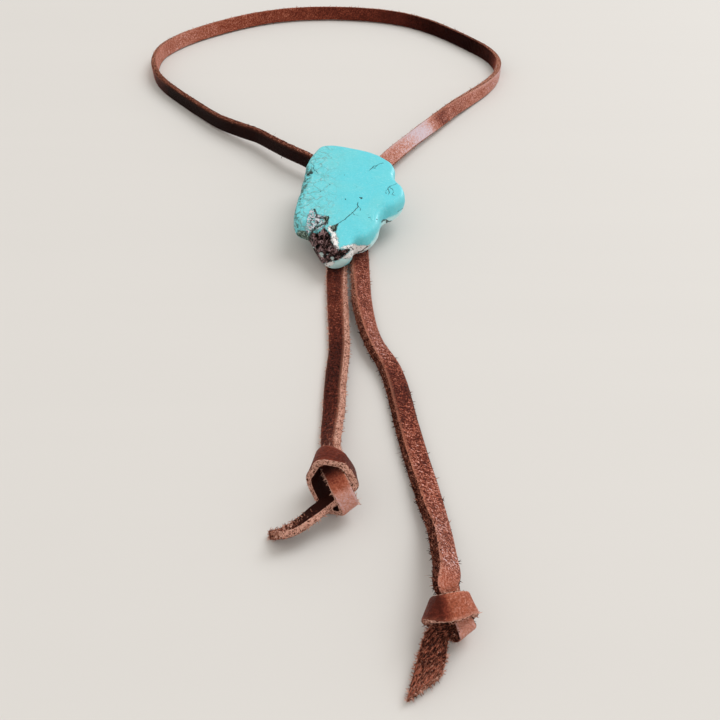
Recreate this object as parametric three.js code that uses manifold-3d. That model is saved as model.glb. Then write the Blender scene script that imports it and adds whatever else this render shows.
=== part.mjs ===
// Lariat necklace: one flat leather lace laid out on a table, its two ends brought together through
// a plain slide behind a turquoise slab, each end tied in an overhand knot and cut off at a slant.
// Millimetres, +Z up. The necklace lies on z = 0, the tails run towards -Y, the neck loop towards +Y.
import * as THREE from "three";
import Module from "manifold-3d";

// ---- driving dimensions ------------------------------------------------------------------------

const LACE = {
  width: 6.0,
  thickness: 2.3,
  edgeRound: 0.5, // chamfer along the four long edges
  routeStep: 3.2, // length between sections in the tails and the neck loop
  knotStep: 1.1, // length between sections inside a knot
};

// Where it is tied the lace is squeezed thinner and wider, and regains its section over this length.
const TIED = { thickness: 2.05, reach: 6 };

const SLIDE = { wall: 1.5, length: 12, gap: 0.45, x: 11.3, y: 6, laceSpacing: 6.6 };

const SLAB = {
  thickness: 8.6,
  tilt: 8, // degrees, back edge up
  x: 11.9,
  y: -4.3,
  frontHeight: 3.3, // height of the underside at the front edge, just above the laces
  outlineSteps: 72,
  crown: 0.5,
};

// Working of the folds: the smallest sine between lace and fold line, and the rounds of solving.
const SHARPEST_TURN = 0.2;
const FOLD_ROUNDS = 60;
const FOLD_SHARE = 0.5;
const SOFTNESS = 1.0; // length over which the path's stretches are rounded together

const SEAT_GAP = 0.3; // between pieces that touch
const ORIGIN = { x: -0.07, y: 0.97 }; // middle of the finished piece, in the frame of the tables below

// ---- tables ------------------------------------------------------------------------------------

// The lace from the left knot to the right one: the middle of the lace seen from above, how far it
// is lifted off the table, and its lean: 0 lies flat with the grain side up, 90 stands on edge with
// the grain side out, to the left of the way along the table's rows.
const ROUTE = [
  // left tail, from its knot to the slab
  { x: 7.7, y: -112.5, lift: 1.6, lean: 46 },
  { x: 7.5, y: -107.0, lift: 0.5, lean: 48 },
  { x: 7.5, y: -100.5, lift: 0.1, lean: 38 },
  { x: 7.9, y: -94.0, lift: 0, lean: 32 },
  { x: 8.0, y: -85.5, lift: 0, lean: 29 },
  { x: 8.4, y: -77.5, lift: 0, lean: 29 },
  { x: 8.9, y: -69.0, lift: 0, lean: 29 },
  { x: 8.7, y: -60.0, lift: 0, lean: 29 },
  { x: 8.2, y: -50.0, lift: 0, lean: 26 },
  { x: 7.7, y: -40.0, lift: 0, lean: 20 },
  { x: 7.4, y: -30.0, lift: 0, lean: 7 },
  { x: 7.6, y: -20.0, lift: 0.1, lean: 0 },
  { x: 8.0, y: -8.0, lift: 1.4, lean: 0 },
  { x: 8.0, y: -0.5, lift: 1.95, lean: 0 }, // in the slide
  { x: 8.0, y: 12.5, lift: 1.95, lean: 0 },
  { x: 6.9, y: 17.2, lift: 2.1, lean: 16 },
  { x: 3.6, y: 22.8, lift: 2.5, lean: 48 },
  { x: -0.6, y: 28.5, lift: 3.0, lean: 76 },
  // neck loop, clockwise
  { x: -4.6, y: 32.8, lift: 3.4, lean: 88 },
  { x: -9.2, y: 36.6, lift: 3.5, lean: 90 },
  { x: -13.7, y: 40.8, lift: 3.2, lean: 90 },
  { x: -20.0, y: 47.6, lift: 2.6, lean: 90 },
  { x: -25.5, y: 53.3, lift: 2.2, lean: 90 },
  { x: -33.0, y: 59.0, lift: 1.6, lean: 90 },
  { x: -42.2, y: 66.6, lift: 0.9, lean: 90 },
  { x: -52.0, y: 77.7, lift: 0.3, lean: 90 },
  { x: -62.3, y: 90.0, lift: 0, lean: 90 },
  { x: -70.2, y: 100.0, lift: 0, lean: 90 },
  { x: -75.5, y: 110.0, lift: 0, lean: 92 },
  { x: -78.0, y: 121.0, lift: 0, lean: 95 },
  { x: -76.8, y: 133.5, lift: 0, lean: 98 },
  { x: -70.3, y: 144.5, lift: 0, lean: 102 },
  { x: -62.0, y: 153.0, lift: 0, lean: 105 },
  { x: -53.0, y: 160.0, lift: 0, lean: 106 },
  { x: -43.8, y: 166.0, lift: 0, lean: 107 },
  { x: -34.0, y: 171.0, lift: 0, lean: 108 },
  { x: -24.5, y: 174.3, lift: 0, lean: 108 },
  { x: -14.5, y: 176.3, lift: 0, lean: 108 },
  { x: -3.0, y: 177.2, lift: 0, lean: 108 },
  { x: 8.0, y: 176.8, lift: 0, lean: 108 },
  { x: 20.0, y: 175.2, lift: 0, lean: 107 },
  { x: 30.5, y: 172.4, lift: 0, lean: 106 },
  { x: 40.3, y: 168.0, lift: 0, lean: 104 },
  { x: 50.0, y: 161.0, lift: 0, lean: 102 },
  { x: 59.0, y: 151.8, lift: 0, lean: 100 },
  { x: 67.2, y: 142.0, lift: 0, lean: 98 },
  { x: 73.6, y: 133.3, lift: 0, lean: 96 },
  { x: 77.2, y: 125.0, lift: 0, lean: 94 },
  { x: 78.0, y: 116.5, lift: 0, lean: 92 },
  { x: 75.6, y: 107.0, lift: 0, lean: 90 },
  { x: 70.2, y: 97.6, lift: 0, lean: 82 },
  { x: 62.8, y: 88.4, lift: 0, lean: 72 },
  { x: 54.6, y: 78.2, lift: 0.3, lean: 58 },
  { x: 47.6, y: 68.6, lift: 0.5, lean: 48 },
  { x: 40.3, y: 58.5, lift: 0.8, lean: 38 },
  { x: 33.8, y: 49.0, lift: 1.2, lean: 32 },
  { x: 27.2, y: 38.6, lift: 1.6, lean: 28 },
  { x: 21.4, y: 28.5, lift: 1.9, lean: 20 },
  { x: 17.0, y: 19.5, lift: 2.0, lean: 9 },
  // right tail, from the slab to its knot
  { x: 14.6, y: 12.5, lift: 1.95, lean: 0 }, // in the slide
  { x: 14.6, y: -0.5, lift: 1.9, lean: 0 },
  { x: 15.0, y: -11.0, lift: 0.9, lean: 0 },
  { x: 15.5, y: -22.0, lift: 0, lean: 3 },
  { x: 15.6, y: -28.0, lift: 0, lean: 12 },
  { x: 15.8, y: -34.5, lift: 0, lean: 20 },
  { x: 16.3, y: -45.0, lift: 0, lean: 27 },
  { x: 17.5, y: -54.8, lift: 0, lean: 31 },
  { x: 19.2, y: -63.0, lift: 0, lean: 32 },
  { x: 21.6, y: -69.2, lift: 0, lean: 26 },
  { x: 24.2, y: -74.8, lift: 0, lean: 17 },
  { x: 26.2, y: -82.0, lift: 0, lean: 12 },
  { x: 27.5, y: -89.5, lift: 0, lean: 10 },
  { x: 28.6, y: -97.0, lift: 0, lean: 10 },
  { x: 29.9, y: -104.5, lift: 0, lean: 10 },
  { x: 31.2, y: -111.5, lift: 0, lean: 11 },
  { x: 32.5, y: -118.0, lift: 0, lean: 14 },
  { x: 33.7, y: -124.6, lift: 0, lean: 20 },
  { x: 34.8, y: -130.8, lift: 0.3, lean: 28 },
  { x: 35.5, y: -136.5, lift: 1.5, lean: 35 },
  { x: 35.8, y: -142.5, lift: 3.2, lean: 35 },
  { x: 36.0, y: -148.5, lift: 5.2, lean: 31 },
];

// An overhand knot in a flat lace folds into a five-sided packet: the lace comes in over one side,
// turns over round three and leaves over the last. In the packet's own frame x is to the right, y
// back along the tail and z out of the packet, and a fold's bearing is the direction its side faces.
// At each fold the lace goes up or down by that many layers. `pinch` is how much narrower it is
// squeezed halfway to that fold, `ridged` how far it shares in the knot's ridge on the way there,
// and `askew` how far the fold is turned out of square. `rise` lifts the lace where it comes in, and
// `end` takes it from the packet to the cut in the columns of the route, where a lean of 180 is the
// flesh side up.
const KNOTS = {
  right: {
    at: { x: 36.2, y: -160.2, z: 7.4 },
    turn: { pitch: -30, roll: 0, yaw: 12 },
    sideOff: 3.95, // the middle of the packet to the middle of each side
    layer: 2.2, // the lace's layers lie one on another at this pitch
    bulge: 0.32, // how far a turned side stands out, as a share of half its height
    ridge: { height: 1.6, power: 1 }, // power 1 for a sharp ridge, 2 for a round arch
    enter: { x: 0.2, y: 6.6, width: 5.2, rise: 0 },
    folds: [
      { name: "heel", bearing: -62, layers: -2, width: 5.0, pinch: 1.4, ridged: 0, askew: 0 },
      { name: "left side", bearing: 158, layers: 3, width: 5.8, pinch: 0.6, ridged: 0, askew: -10 },
      { name: "right side", bearing: 18, layers: -2, width: 5.2, pinch: -0.8, ridged: 1, askew: 4 },
    ],
    leave: { x: -4.3, y: -3.9, width: 5.2, pinch: 1.1 },
    end: [
      { x: 31.5, y: -167.6, lift: 1.8, lean: 180 },
      { x: 30.5, y: -170.9, lift: 0.8, lean: 180 },
      { x: 29.5, y: -174.3, lift: 0.5, lean: 180 },
    ],
    cut: { slant: -3.8, reach: 8 },
  },
  left: {
    at: { x: 8.5, y: -123.3, z: 9.2 },
    turn: { pitch: 12, roll: -32, yaw: -10 },
    sideOff: 4.1,
    layer: 3.5,
    bulge: 0.3,
    ridge: { height: 2.8, power: 2 },
    enter: { x: -0.9, y: 5.4, width: 6.2, rise: 1.7 },
    folds: [
      { name: "heel", bearing: -58, layers: -2, width: 5.0, pinch: 0.5, ridged: 0, askew: 0 },
      { name: "left side", bearing: 162, layers: 3, width: 6.0, pinch: 0.6, ridged: 0, askew: 0 },
      { name: "right side", bearing: 18, layers: -2, width: 5.2, pinch: -0.8, ridged: 1, askew: 0 },
    ],
    leave: { x: -3.8, y: -5.2, width: 5.2, pinch: 0.9 },
    end: [
      { x: 1.6, y: -133.2, lift: 2.0, lean: 142 },
      { x: -2.0, y: -135.0, lift: 0.5, lean: 136 },
      { x: -5.7, y: -135.9, lift: 0.1, lean: 128 },
    ],
    cut: { slant: 1.2, reach: 6 },
  },
};

// The slab's outline seen square to its face, anticlockwise from its right-hand lobe.
const SLAB_OUTLINE = [
  { x: 19.2, y: 3.1 },
  { x: 18.4, y: 6.6 },
  { x: 16.1, y: 10.0 },
  { x: 15.7, y: 12.4 },
  { x: 16.1, y: 15.6 },
  { x: 14.9, y: 19.0 },
  { x: 10.6, y: 23.0 },
  { x: 4.6, y: 26.1 },
  { x: -1.3, y: 27.9 },
  { x: -6.8, y: 28.9 },
  { x: -10.4, y: 28.3 },
  { x: -12.8, y: 25.4 },
  { x: -15.3, y: 18.7 },
  { x: -16.5, y: 10.2 },
  { x: -18.0, y: -0.6 },
  { x: -19.0, y: -8.6 },
  { x: -17.9, y: -11.9 },
  { x: -14.0, y: -14.3 },
  { x: -11.9, y: -19.4 },
  { x: -9.5, y: -24.3 },
  { x: -6.4, y: -26.9 },
  { x: -3.4, y: -27.0 },
  { x: 0.3, y: -24.6 },
  { x: 2.0, y: -20.6 },
  { x: 5.0, y: -19.4 },
  { x: 7.6, y: -17.1 },
  { x: 9.9, y: -13.0 },
  { x: 10.6, y: -8.6 },
  { x: 12.0, y: -6.2 },
  { x: 14.8, y: -4.4 },
  { x: 18.1, y: -0.7 },
];

// Rings up the slab's rim: how far each lies inside the outline, and its height.
const SLAB_RINGS = [
  { inset: 1.5, height: 0 },
  { inset: 0.4, height: 0.8 },
  { inset: 0, height: 2.6 },
  { inset: 0.1, height: 5.8 },
  { inset: 0.8, height: 7.5 },
  { inset: 2.0, height: 8.3 },
  { inset: 4.2, height: 8.6 },
];

// The broken hollow at the slab's lower left, where the brown rock shows.
const HOLLOW = { x: -11.0, y: -19.5, alongX: 6.6, alongY: 8.6, depth: 3.4, lip: 0.25 };

// Rings over the slab's top, as shares of the rim, drawn in to the middle of its crown.
const CROWN_RINGS = [0.72, 0.42, 0.16];
const CROWN_MIDDLE = { x: -1.5, y: 1.5 };

// ---- small helpers -----------------------------------------------------------------------------

const rad = THREE.MathUtils.degToRad;
const vec = (x, y, z = 0) => new THREE.Vector3(x, y, z);
const UP = vec(0, 0, 1);

// A leaning flat lace touches the table with its lowest edge: the height of its middle then.
function restingHeight(lean) {
  const a = rad(lean);
  return (LACE.width / 2) * Math.abs(Math.sin(a)) + (LACE.thickness / 2) * Math.abs(Math.cos(a));
}

// The grain side's direction for a lace that runs along `ahead` and leans to its left.
function grainDirection(ahead, lean) {
  const left = UP.clone().cross(ahead).normalize();
  const up = ahead.clone().cross(left).normalize();
  return up.multiplyScalar(Math.cos(rad(lean))).addScaledVector(left, Math.sin(rad(lean)));
}

function catmullRom(a, b, c, d, t) {
  return 0.5 * (2 * b + (c - a) * t + (2 * a - 5 * b + 4 * c - d) * t * t
    + (3 * b - a - 3 * c + d) * t * t * t);
}

// ---- the lace's path ---------------------------------------------------------------------------

// A station of the path is { p: its middle, n: the grain side's direction, width, tied: 0 to 1 }.
function rowStations(rows, step) {
  const at = (i) => rows[Math.min(rows.length - 1, Math.max(0, i))];
  const between = (i, t, key) =>
    catmullRom(at(i - 1)[key], at(i)[key], at(i + 1)[key], at(i + 2)[key], t);
  const place = (i, t) => {
    const lean = between(i, t, "lean");
    const lift = Math.max(0, between(i, t, "lift"));
    return { lean, p: vec(between(i, t, "x"), between(i, t, "y"), lift + restingHeight(lean)) };
  };
  const nearby = 0.02; // share of a row's span over which the way is measured
  const stations = [];
  for (let i = 0; i < rows.length - 1; i++) {
    const span = Math.hypot(at(i + 1).x - at(i).x, at(i + 1).y - at(i).y);
    const steps = Math.max(2, Math.round(span / step));
    const last = i === rows.length - 2;
    for (let k = 0; k < steps + (last ? 1 : 0); k++) {
      const t = k / steps;
      const here = place(i, t);
      const ahead = place(i, Math.min(1, t + nearby)).p
        .sub(place(i, Math.max(0, t - nearby)).p).normalize();
      stations.push({ p: here.p, n: grainDirection(ahead, here.lean), width: LACE.width, tied: 0 });
    }
  }
  return stations;
}

// The turn at a fold whose line lies along `phi`, for a lace coming in at heading `h`.
function foldAt(h, phi, radius, bulge) {
  const d = vec(Math.cos(h), Math.sin(h));
  const along = vec(Math.cos(phi), Math.sin(phi));
  if (d.dot(along) < 0) along.negate();
  const out = vec(-along.y, along.x);
  if (d.dot(out) < 0) out.negate();
  const halfTurn = (Math.PI * radius * (1 + bulge)) / 2;
  const across = Math.max(SHARPEST_TURN, d.dot(out));
  return { along, out, advance: (d.dot(along) / across) * halfTurn, length: halfTurn / across };
}

// The fold centred on `middle` that takes the lace from `here` on to `next`.
function solveFold(here, middle, next, radius, bulge, askew) {
  let from = middle.clone();
  let to = middle.clone();
  let fold;
  for (let k = 0; k < FOLD_ROUNDS; k++) {
    const h = Math.atan2(from.y - here.y, from.x - here.x);
    const exit = Math.atan2(next.y - to.y, next.x - to.x);
    const turn = Math.atan2(Math.sin(exit - h), Math.cos(exit - h));
    fold = foldAt(h, h + turn / 2 + askew, radius, bulge);
    from.lerp(middle.clone().addScaledVector(fold.along, -fold.advance / 2), FOLD_SHARE);
    to.lerp(middle.clone().addScaledVector(fold.along, fold.advance / 2), FOLD_SHARE);
  }
  return { ...fold, from };
}

function knotStations(knot) {
  const stations = [];
  const add = (p, n, width) =>
    stations.push({ p: p.clone(), n: n.clone().normalize(), width, tied: 1 });
  const middleOf = (fold, z) => vec(knot.sideOff * Math.cos(rad(fold.bearing)),
    knot.sideOff * Math.sin(rad(fold.bearing)), z);
  const widthAt = (before, to, t) =>
    THREE.MathUtils.lerp(before, to.width, t) - 4 * to.pinch * t * (1 - t);
  let here = vec(knot.enter.x, knot.enter.y, 0);
  let width = knot.enter.width;
  let side = 1; // 1 with the grain side out of the packet, -1 turned over
  let rise = knot.enter.rise;
  knot.folds.forEach((corner, i) => {
    const follow = knot.folds[i + 1];
    const next = follow ? middleOf(follow, 0) : knot.leave;
    const radius = (Math.abs(corner.layers) * knot.layer) / 2;
    const climb = Math.sign(corner.layers);
    const fold = solveFold(here, middleOf(corner, here.z), next, radius, knot.bulge,
      rad(corner.askew));
    const steps = Math.max(2, Math.round(here.distanceTo(fold.from) / LACE.knotStep));
    for (let k = 0; k < steps; k++) {
      const t = k / steps;
      const p = here.clone().lerp(fold.from, t);
      const fromMiddle = Math.abs(2 * t - 1);
      p.z += corner.ridged * knot.ridge.height * (1 - fromMiddle ** knot.ridge.power);
      p.z += rise * (1 - t);
      add(p, vec(0, 0, side), widthAt(width, corner, t));
    }
    const turnSteps = Math.max(7, Math.round(fold.length / LACE.knotStep));
    for (let k = 0; k < turnSteps; k++) {
      const a = (Math.PI * k) / turnSteps;
      const p = fold.from.clone().addScaledVector(fold.along, (fold.advance * k) / turnSteps)
        .addScaledVector(fold.out, radius * knot.bulge * Math.sin(a));
      p.z += climb * radius * (1 - Math.cos(a));
      const outward = fold.out.clone().multiplyScalar(Math.sin(a) / knot.bulge);
      outward.z = -climb * Math.cos(a);
      add(p, outward.multiplyScalar(-climb * side), corner.width);
    }
    here = fold.from.clone().addScaledVector(fold.along, fold.advance);
    here.z += climb * 2 * radius;
    rise = 0;
    width = corner.width;
    side = -side;
  });
  const out = vec(knot.leave.x, knot.leave.y, here.z);
  const outSteps = Math.round(here.distanceTo(out) / LACE.knotStep);
  for (let k = 0; k <= outSteps; k++)
    add(here.clone().lerp(out, k / outSteps), vec(0, 0, side),
      widthAt(width, knot.leave, k / outSteps));
  const turned = new THREE.Matrix4().makeRotationZ(rad(knot.turn.yaw))
    .multiply(new THREE.Matrix4().makeRotationX(-rad(knot.turn.pitch)))
    .multiply(new THREE.Matrix4().makeRotationY(rad(knot.turn.roll)));
  for (const s of stations) {
    s.p.applyMatrix4(turned).add(vec(knot.at.x, knot.at.y, knot.at.z));
    s.n.applyMatrix4(turned);
  }
  return [...stations, ...rowStations(knot.end, LACE.knotStep)];
}

// Rounds the path where its stretches meet, as a soft lace does.
function softened(stations, reach) {
  const s = [0];
  for (let i = 1; i < stations.length; i++)
    s.push(s[i - 1] + stations[i].p.distanceTo(stations[i - 1].p));
  const total = s[s.length - 1];
  return stations.map((station, i) => {
    const width = Math.max(1e-6, Math.min(reach, s[i] / 2, (total - s[i]) / 2));
    const p = vec(0, 0);
    const n = vec(0, 0);
    let sum = 0;
    let tied = 0;
    let breadth = 0;
    for (let j = 0; j < stations.length; j++) {
      const weight = Math.exp(-0.5 * ((s[j] - s[i]) / width) ** 2);
      p.addScaledVector(stations[j].p, weight);
      n.addScaledVector(stations[j].n, weight);
      breadth += stations[j].width * weight;
      sum += weight;
    }
    for (let j = 0; j < stations.length; j++)
      tied = Math.max(tied, stations[j].tied * (1 - Math.abs(s[j] - s[i]) / TIED.reach));
    return { p: p.divideScalar(sum), n: n.normalize(), width: breadth / sum,
      tied: Math.max(0, tied), s: s[i] };
  });
}

function lacePath() {
  const left = knotStations(KNOTS.left).reverse();
  const right = knotStations(KNOTS.right);
  return softened([...left, ...rowStations(ROUTE, LACE.routeStep), ...right], SOFTNESS);
}

// ---- solids ------------------------------------------------------------------------------------

function geometryOf(points, triangles) {
  const geometry = new THREE.BufferGeometry();
  geometry.setAttribute("position",
    new THREE.Float32BufferAttribute(points.flatMap((p) => [p.x, p.y, p.z]), 3));
  geometry.setIndex(triangles.flat());
  geometry.computeVertexNormals();
  return geometry;
}

// Joins rings of equal size into a closed skin, with a flat fan over the first and last ring.
function skinOf(rings) {
  const size = rings[0].length;
  const points = rings.flat();
  const triangles = [];
  for (let i = 0; i < rings.length - 1; i++)
    for (let j = 0; j < size; j++) {
      const a = i * size + j;
      const b = i * size + ((j + 1) % size);
      triangles.push([a, b, b + size], [a, b + size, a + size]);
    }
  const middle = (ring) => ring.reduce((sum, p) => sum.add(p), vec(0, 0)).divideScalar(size);
  const first = points.length;
  points.push(middle(rings[0]), middle(rings[rings.length - 1]));
  const lastRing = (rings.length - 1) * size;
  for (let j = 0; j < size; j++) {
    const k = (j + 1) % size;
    triangles.push([first, k, j], [first + 1, lastRing + j, lastRing + k]);
  }
  return geometryOf(points, triangles);
}

function laceSection(width, thickness) {
  const b = width / 2;
  const n = thickness / 2;
  const r = LACE.edgeRound;
  return [[b, r - n], [b - r, -n], [r - b, -n], [-b, r - n], [-b, n - r], [r - b, n], [b - r, n],
    [b, n - r]];
}

function laceRings(path) {
  const { left, right } = KNOTS;
  const total = path[path.length - 1].s;
  return path.map((station, i) => {
    const ahead = path[Math.min(path.length - 1, i + 1)].p.clone()
      .sub(path[Math.max(0, i - 1)].p).normalize();
    const n = station.n.clone().addScaledVector(ahead, -station.n.dot(ahead)).normalize();
    const b = ahead.clone().cross(n);
    const thickness = THREE.MathUtils.lerp(LACE.thickness, TIED.thickness, station.tied);
    // The slanted cut lengthens one long edge of each end and shortens the other.
    const nearLeft = Math.max(0, 1 - station.s / left.cut.reach) * -left.cut.slant;
    const nearRight = Math.max(0, 1 - (total - station.s) / right.cut.reach) * right.cut.slant;
    const slant = (nearLeft + nearRight) / (LACE.width / 2);
    return laceSection(station.width, thickness).map(([x, y]) => station.p.clone().addScaledVector(b, x)
      .addScaledVector(n, y).addScaledVector(ahead, x * slant));
  });
}

function slabGeometry() {
  const curve = new THREE.CatmullRomCurve3(SLAB_OUTLINE.map((p) => vec(p.x, p.y)), true,
    "centripetal");
  const outline = curve.getSpacedPoints(SLAB.outlineSteps).slice(0, -1);
  const inward = outline.map((p, i) => {
    const before = outline[(i + outline.length - 1) % outline.length];
    const after = outline[(i + 1) % outline.length];
    return vec(before.y - after.y, after.x - before.x).normalize();
  });
  const sunk = (p) => {
    const far = Math.hypot((p.x - HOLLOW.x) / HOLLOW.alongX, (p.y - HOLLOW.y) / HOLLOW.alongY);
    const share = THREE.MathUtils.clamp(1 + HOLLOW.lip - far, 0, 1);
    return HOLLOW.depth * share * share * (3 - 2 * share) * (p.z / SLAB.thickness) ** 2;
  };
  const rings = SLAB_RINGS.map((ring) => outline.map((p, i) => {
    const q = p.clone().addScaledVector(inward[i], ring.inset);
    q.z = ring.height;
    q.z -= sunk(q);
    return q;
  }));
  const rim = rings[rings.length - 1];
  const middle = vec(CROWN_MIDDLE.x, CROWN_MIDDLE.y);
  for (const share of CROWN_RINGS)
    rings.push(rim.map((p) => {
      const q = middle.clone().lerp(p, share);
      q.z = SLAB.thickness + SLAB.crown * (1 - share * share);
      q.z -= sunk(q);
      return q;
    }));
  return skinOf(rings);
}

// A flat keeper with two lace ways side by side, its top cut to the slab's tilt.
async function slideGeometry(slabUndersideAt) {
  const wasm = await Module();
  wasm.setup();
  const inside = { width: SLIDE.laceSpacing + LACE.width + 2 * SLIDE.gap,
    height: LACE.thickness + 2 * SLIDE.gap };
  const outside = { width: inside.width + 2 * SLIDE.wall, height: inside.height + 2 * SLIDE.wall };
  const prism = (width, depth, lowFront, highFront, lowBack, highBack) => {
    const corner = (x, y, z) => vec((x * width) / 2, (y * depth) / 2, z);
    const front = [corner(-1, -1, lowFront), corner(1, -1, lowFront), corner(1, -1, highFront),
      corner(-1, -1, highFront)];
    const back = [corner(-1, 1, lowBack), corner(1, 1, lowBack), corner(1, 1, highBack),
      corner(-1, 1, highBack)];
    return skinOf([front.reverse(), back.reverse()]);
  };
  const solid = (geometry) => new wasm.Manifold(new wasm.Mesh({ numProp: 3,
    vertProperties: geometry.attributes.position.array,
    triVerts: new Uint32Array(geometry.index.array) }));
  const top = (y) => slabUndersideAt(SLIDE.y + y) - SEAT_GAP;
  const half = SLIDE.length / 2;
  const body = solid(prism(outside.width, SLIDE.length, 0, top(-half), 0, top(half)));
  const way = solid(prism(inside.width, SLIDE.length + 2, SLIDE.wall, SLIDE.wall + inside.height,
    SLIDE.wall, SLIDE.wall + inside.height));
  const mesh = body.subtract(way).getMesh();
  return new THREE.BufferGeometry()
    .setAttribute("position", new THREE.BufferAttribute(mesh.vertProperties, 3))
    .setIndex(new THREE.BufferAttribute(mesh.triVerts, 1));
}

// ---- assembly ----------------------------------------------------------------------------------

function finish(colour, roughness) {
  return new THREE.MeshStandardMaterial({ color: colour, roughness, metalness: 0 });
}

const necklace = new THREE.Group();
necklace.name = "lariat_necklace";
necklace.position.set(-ORIGIN.x, -ORIGIN.y, 0);

const lace = new THREE.Mesh(skinOf(laceRings(lacePath())), finish(0x7a4030, 0.55));
lace.name = "lace";
necklace.add(lace);

const slab = new THREE.Mesh(slabGeometry(), finish(0x6edce4, 0.3));
slab.name = "turquoise_slab";
slab.rotation.x = rad(SLAB.tilt);
const slabFront = Math.min(...SLAB_OUTLINE.map((p) => p.y)) * Math.cos(rad(SLAB.tilt));
const slabLift = SLAB.frontHeight - slabFront * Math.tan(rad(SLAB.tilt));
slab.position.set(SLAB.x, SLAB.y, slabLift);
necklace.add(slab);

const undersideAt = (y) => slabLift + (y - SLAB.y) * Math.tan(rad(SLAB.tilt));
const slide = new THREE.Mesh(await slideGeometry(undersideAt), finish(0x6b3826, 0.7));
slide.name = "slide";
slide.position.set(SLIDE.x, SLIDE.y, 0);
necklace.add(slide);

export default necklace;
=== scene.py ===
"""Lariat necklace: a flat leather lace with two knotted tails, a turquoise slab and its keeper.

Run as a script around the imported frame. Tables are in millimetres, pieces in metres, +Z up.
"""
import math
from functools import partialmethod

import bpy
import numpy as np
from bpy.props import FloatProperty, FloatVectorProperty, IntProperty, PointerProperty
from mathutils import Matrix, Vector, noise


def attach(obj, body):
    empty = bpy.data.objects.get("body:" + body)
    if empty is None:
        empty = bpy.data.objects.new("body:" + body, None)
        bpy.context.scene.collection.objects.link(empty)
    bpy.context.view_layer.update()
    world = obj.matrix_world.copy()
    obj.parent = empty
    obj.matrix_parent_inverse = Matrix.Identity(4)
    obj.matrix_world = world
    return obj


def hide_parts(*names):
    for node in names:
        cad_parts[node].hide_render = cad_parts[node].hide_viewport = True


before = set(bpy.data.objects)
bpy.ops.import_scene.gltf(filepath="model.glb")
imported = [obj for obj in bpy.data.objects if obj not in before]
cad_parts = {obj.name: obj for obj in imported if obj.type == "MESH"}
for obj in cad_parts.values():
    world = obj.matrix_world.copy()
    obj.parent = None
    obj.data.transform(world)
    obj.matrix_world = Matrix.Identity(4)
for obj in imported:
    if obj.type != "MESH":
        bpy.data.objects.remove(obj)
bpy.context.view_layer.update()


bl_info = {
    "name": "Lariat necklace",
    "version": (1, 0, 0),
    "blender": (4, 5, 0),
    "location": "View3D > Sidebar > Necklace",
    "description": "Builds a leather lariat necklace with a turquoise slab",
    "category": "Add Mesh",
}

MM = 0.001
BODY = "root"


def table(text):
    """Rows of numbers, a comma between rows."""
    return [tuple(map(float, row.split())) for row in text.split(",")]


def tables(text):
    return [table(part) for part in text.split(";")]


# ---- the lace's run ----

LACE_WIDTH = 6.0
LACE_THICKNESS = 2.3
TIED_THICKNESS = 2.05
TIED_REACH = 6.0
ROUTE_STEP = 3.2
KNOT_STEP = 1.1
SOFTNESS = 1.0
SHARPEST_TURN = 0.2
FOLD_ROUNDS = 60
FOLD_SHARE = 0.5
ORIGIN = np.array([-0.07, 0.97, 0])
LOWEST = 0.02
END_MAP = 300  # where the cut ends lie in the lace's map
WANDER = 0.09  # how far its half width wanders
PEBBLES = 0.032  # how far the pebbles of the grain stand up
CREASES = 0.11  # and its creases where it is worn
KNOT_FRAY = 0.4  # how frayed the cut edges are in the knots
CUT_ROUGHNESS = 0.16
PARED_FADE = 12
PARED_CALM = 0.45  # how much less mottled the grain is over the pared stretch
TIED_CALM = 0.75  # and in the knots

# x, y of the lace's middle, its lift off the table and its lean: 0 flat, grain side up, 90 on edge
# with the grain side to the left of the way down the rows.
ROUTE = table("""
7.7 -112.5 1.6 46, 7.5 -107 0.5 48, 7.5 -100.5 0.1 38, 7.9 -94 0 32, 8 -85.5 0 29, 8.4 -77.5 0 29,
8.9 -69 0 29, 8.7 -60 0 29, 8.2 -50 0 26, 7.7 -40 0 20, 7.4 -30 0 7, 7.6 -20 0.1 0, 8 -8 1.4 0,
8 -0.5 1.95 0, 8 12.5 1.95 0, 6.9 17.2 2.1 16, 3.6 22.8 2.5 48, -0.6 28.5 3 76, -4.6 32.8 3.4 88,
-9.2 36.6 3.5 90, -13.7 40.8 3.2 90, -20 47.6 2.6 90, -25.5 53.3 2.2 90, -33 59 1.6 90,
-42.2 66.6 0.9 90, -52 77.7 0.3 90, -62.3 90 0 90, -70.2 100 0 90, -75.5 110 0 92, -78 121 0 95,
-76.8 133.5 0 98, -70.3 144.5 0 102, -62 153 0 105, -53 160 0 106, -43.8 166 0 107, -34 171 0 108,
-24.5 174.3 0 108, -14.5 176.3 0 108, -3 177.2 0 108, 8 176.8 0 108, 20 175.2 0 107,
30.5 172.4 0 106, 40.3 168 0 104, 50 161 0 102, 59 151.8 0 100, 67.2 142 0 98, 73.6 133.3 0 96,
77.2 125 0 94, 78 116.5 0 92, 75.6 107 0 90, 70.2 97.6 0 82, 62.8 88.4 0 72, 54.6 78.2 0.3 58,
47.6 68.6 0.5 48, 40.3 58.5 0.8 38, 33.8 49 1.2 32, 27.2 38.6 1.6 28, 21.4 28.5 1.9 20, 17 19.5 2 9,
14.6 12.5 1.95 0, 14.6 -0.5 1.9 0, 15 -11 0.9 0, 15.5 -22 0 3, 15.6 -28 0 12, 15.8 -34.5 0 20,
16.3 -45 0 27, 17.5 -54.8 0 31, 19.2 -63 0 32, 21.6 -69.2 0 26, 24.2 -74.8 0 17, 26.2 -82 0 12,
27.5 -89.5 0 10, 28.6 -97 0 10, 29.9 -104.5 0 10, 31.2 -111.5 0 11, 32.5 -118 0 14,
33.7 -124.6 0 20, 34.8 -130.8 0.3 28, 35.5 -136.5 1.5 35, 35.8 -142.5 3.2 35, 36 -148.5 5.2 31""")

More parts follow.
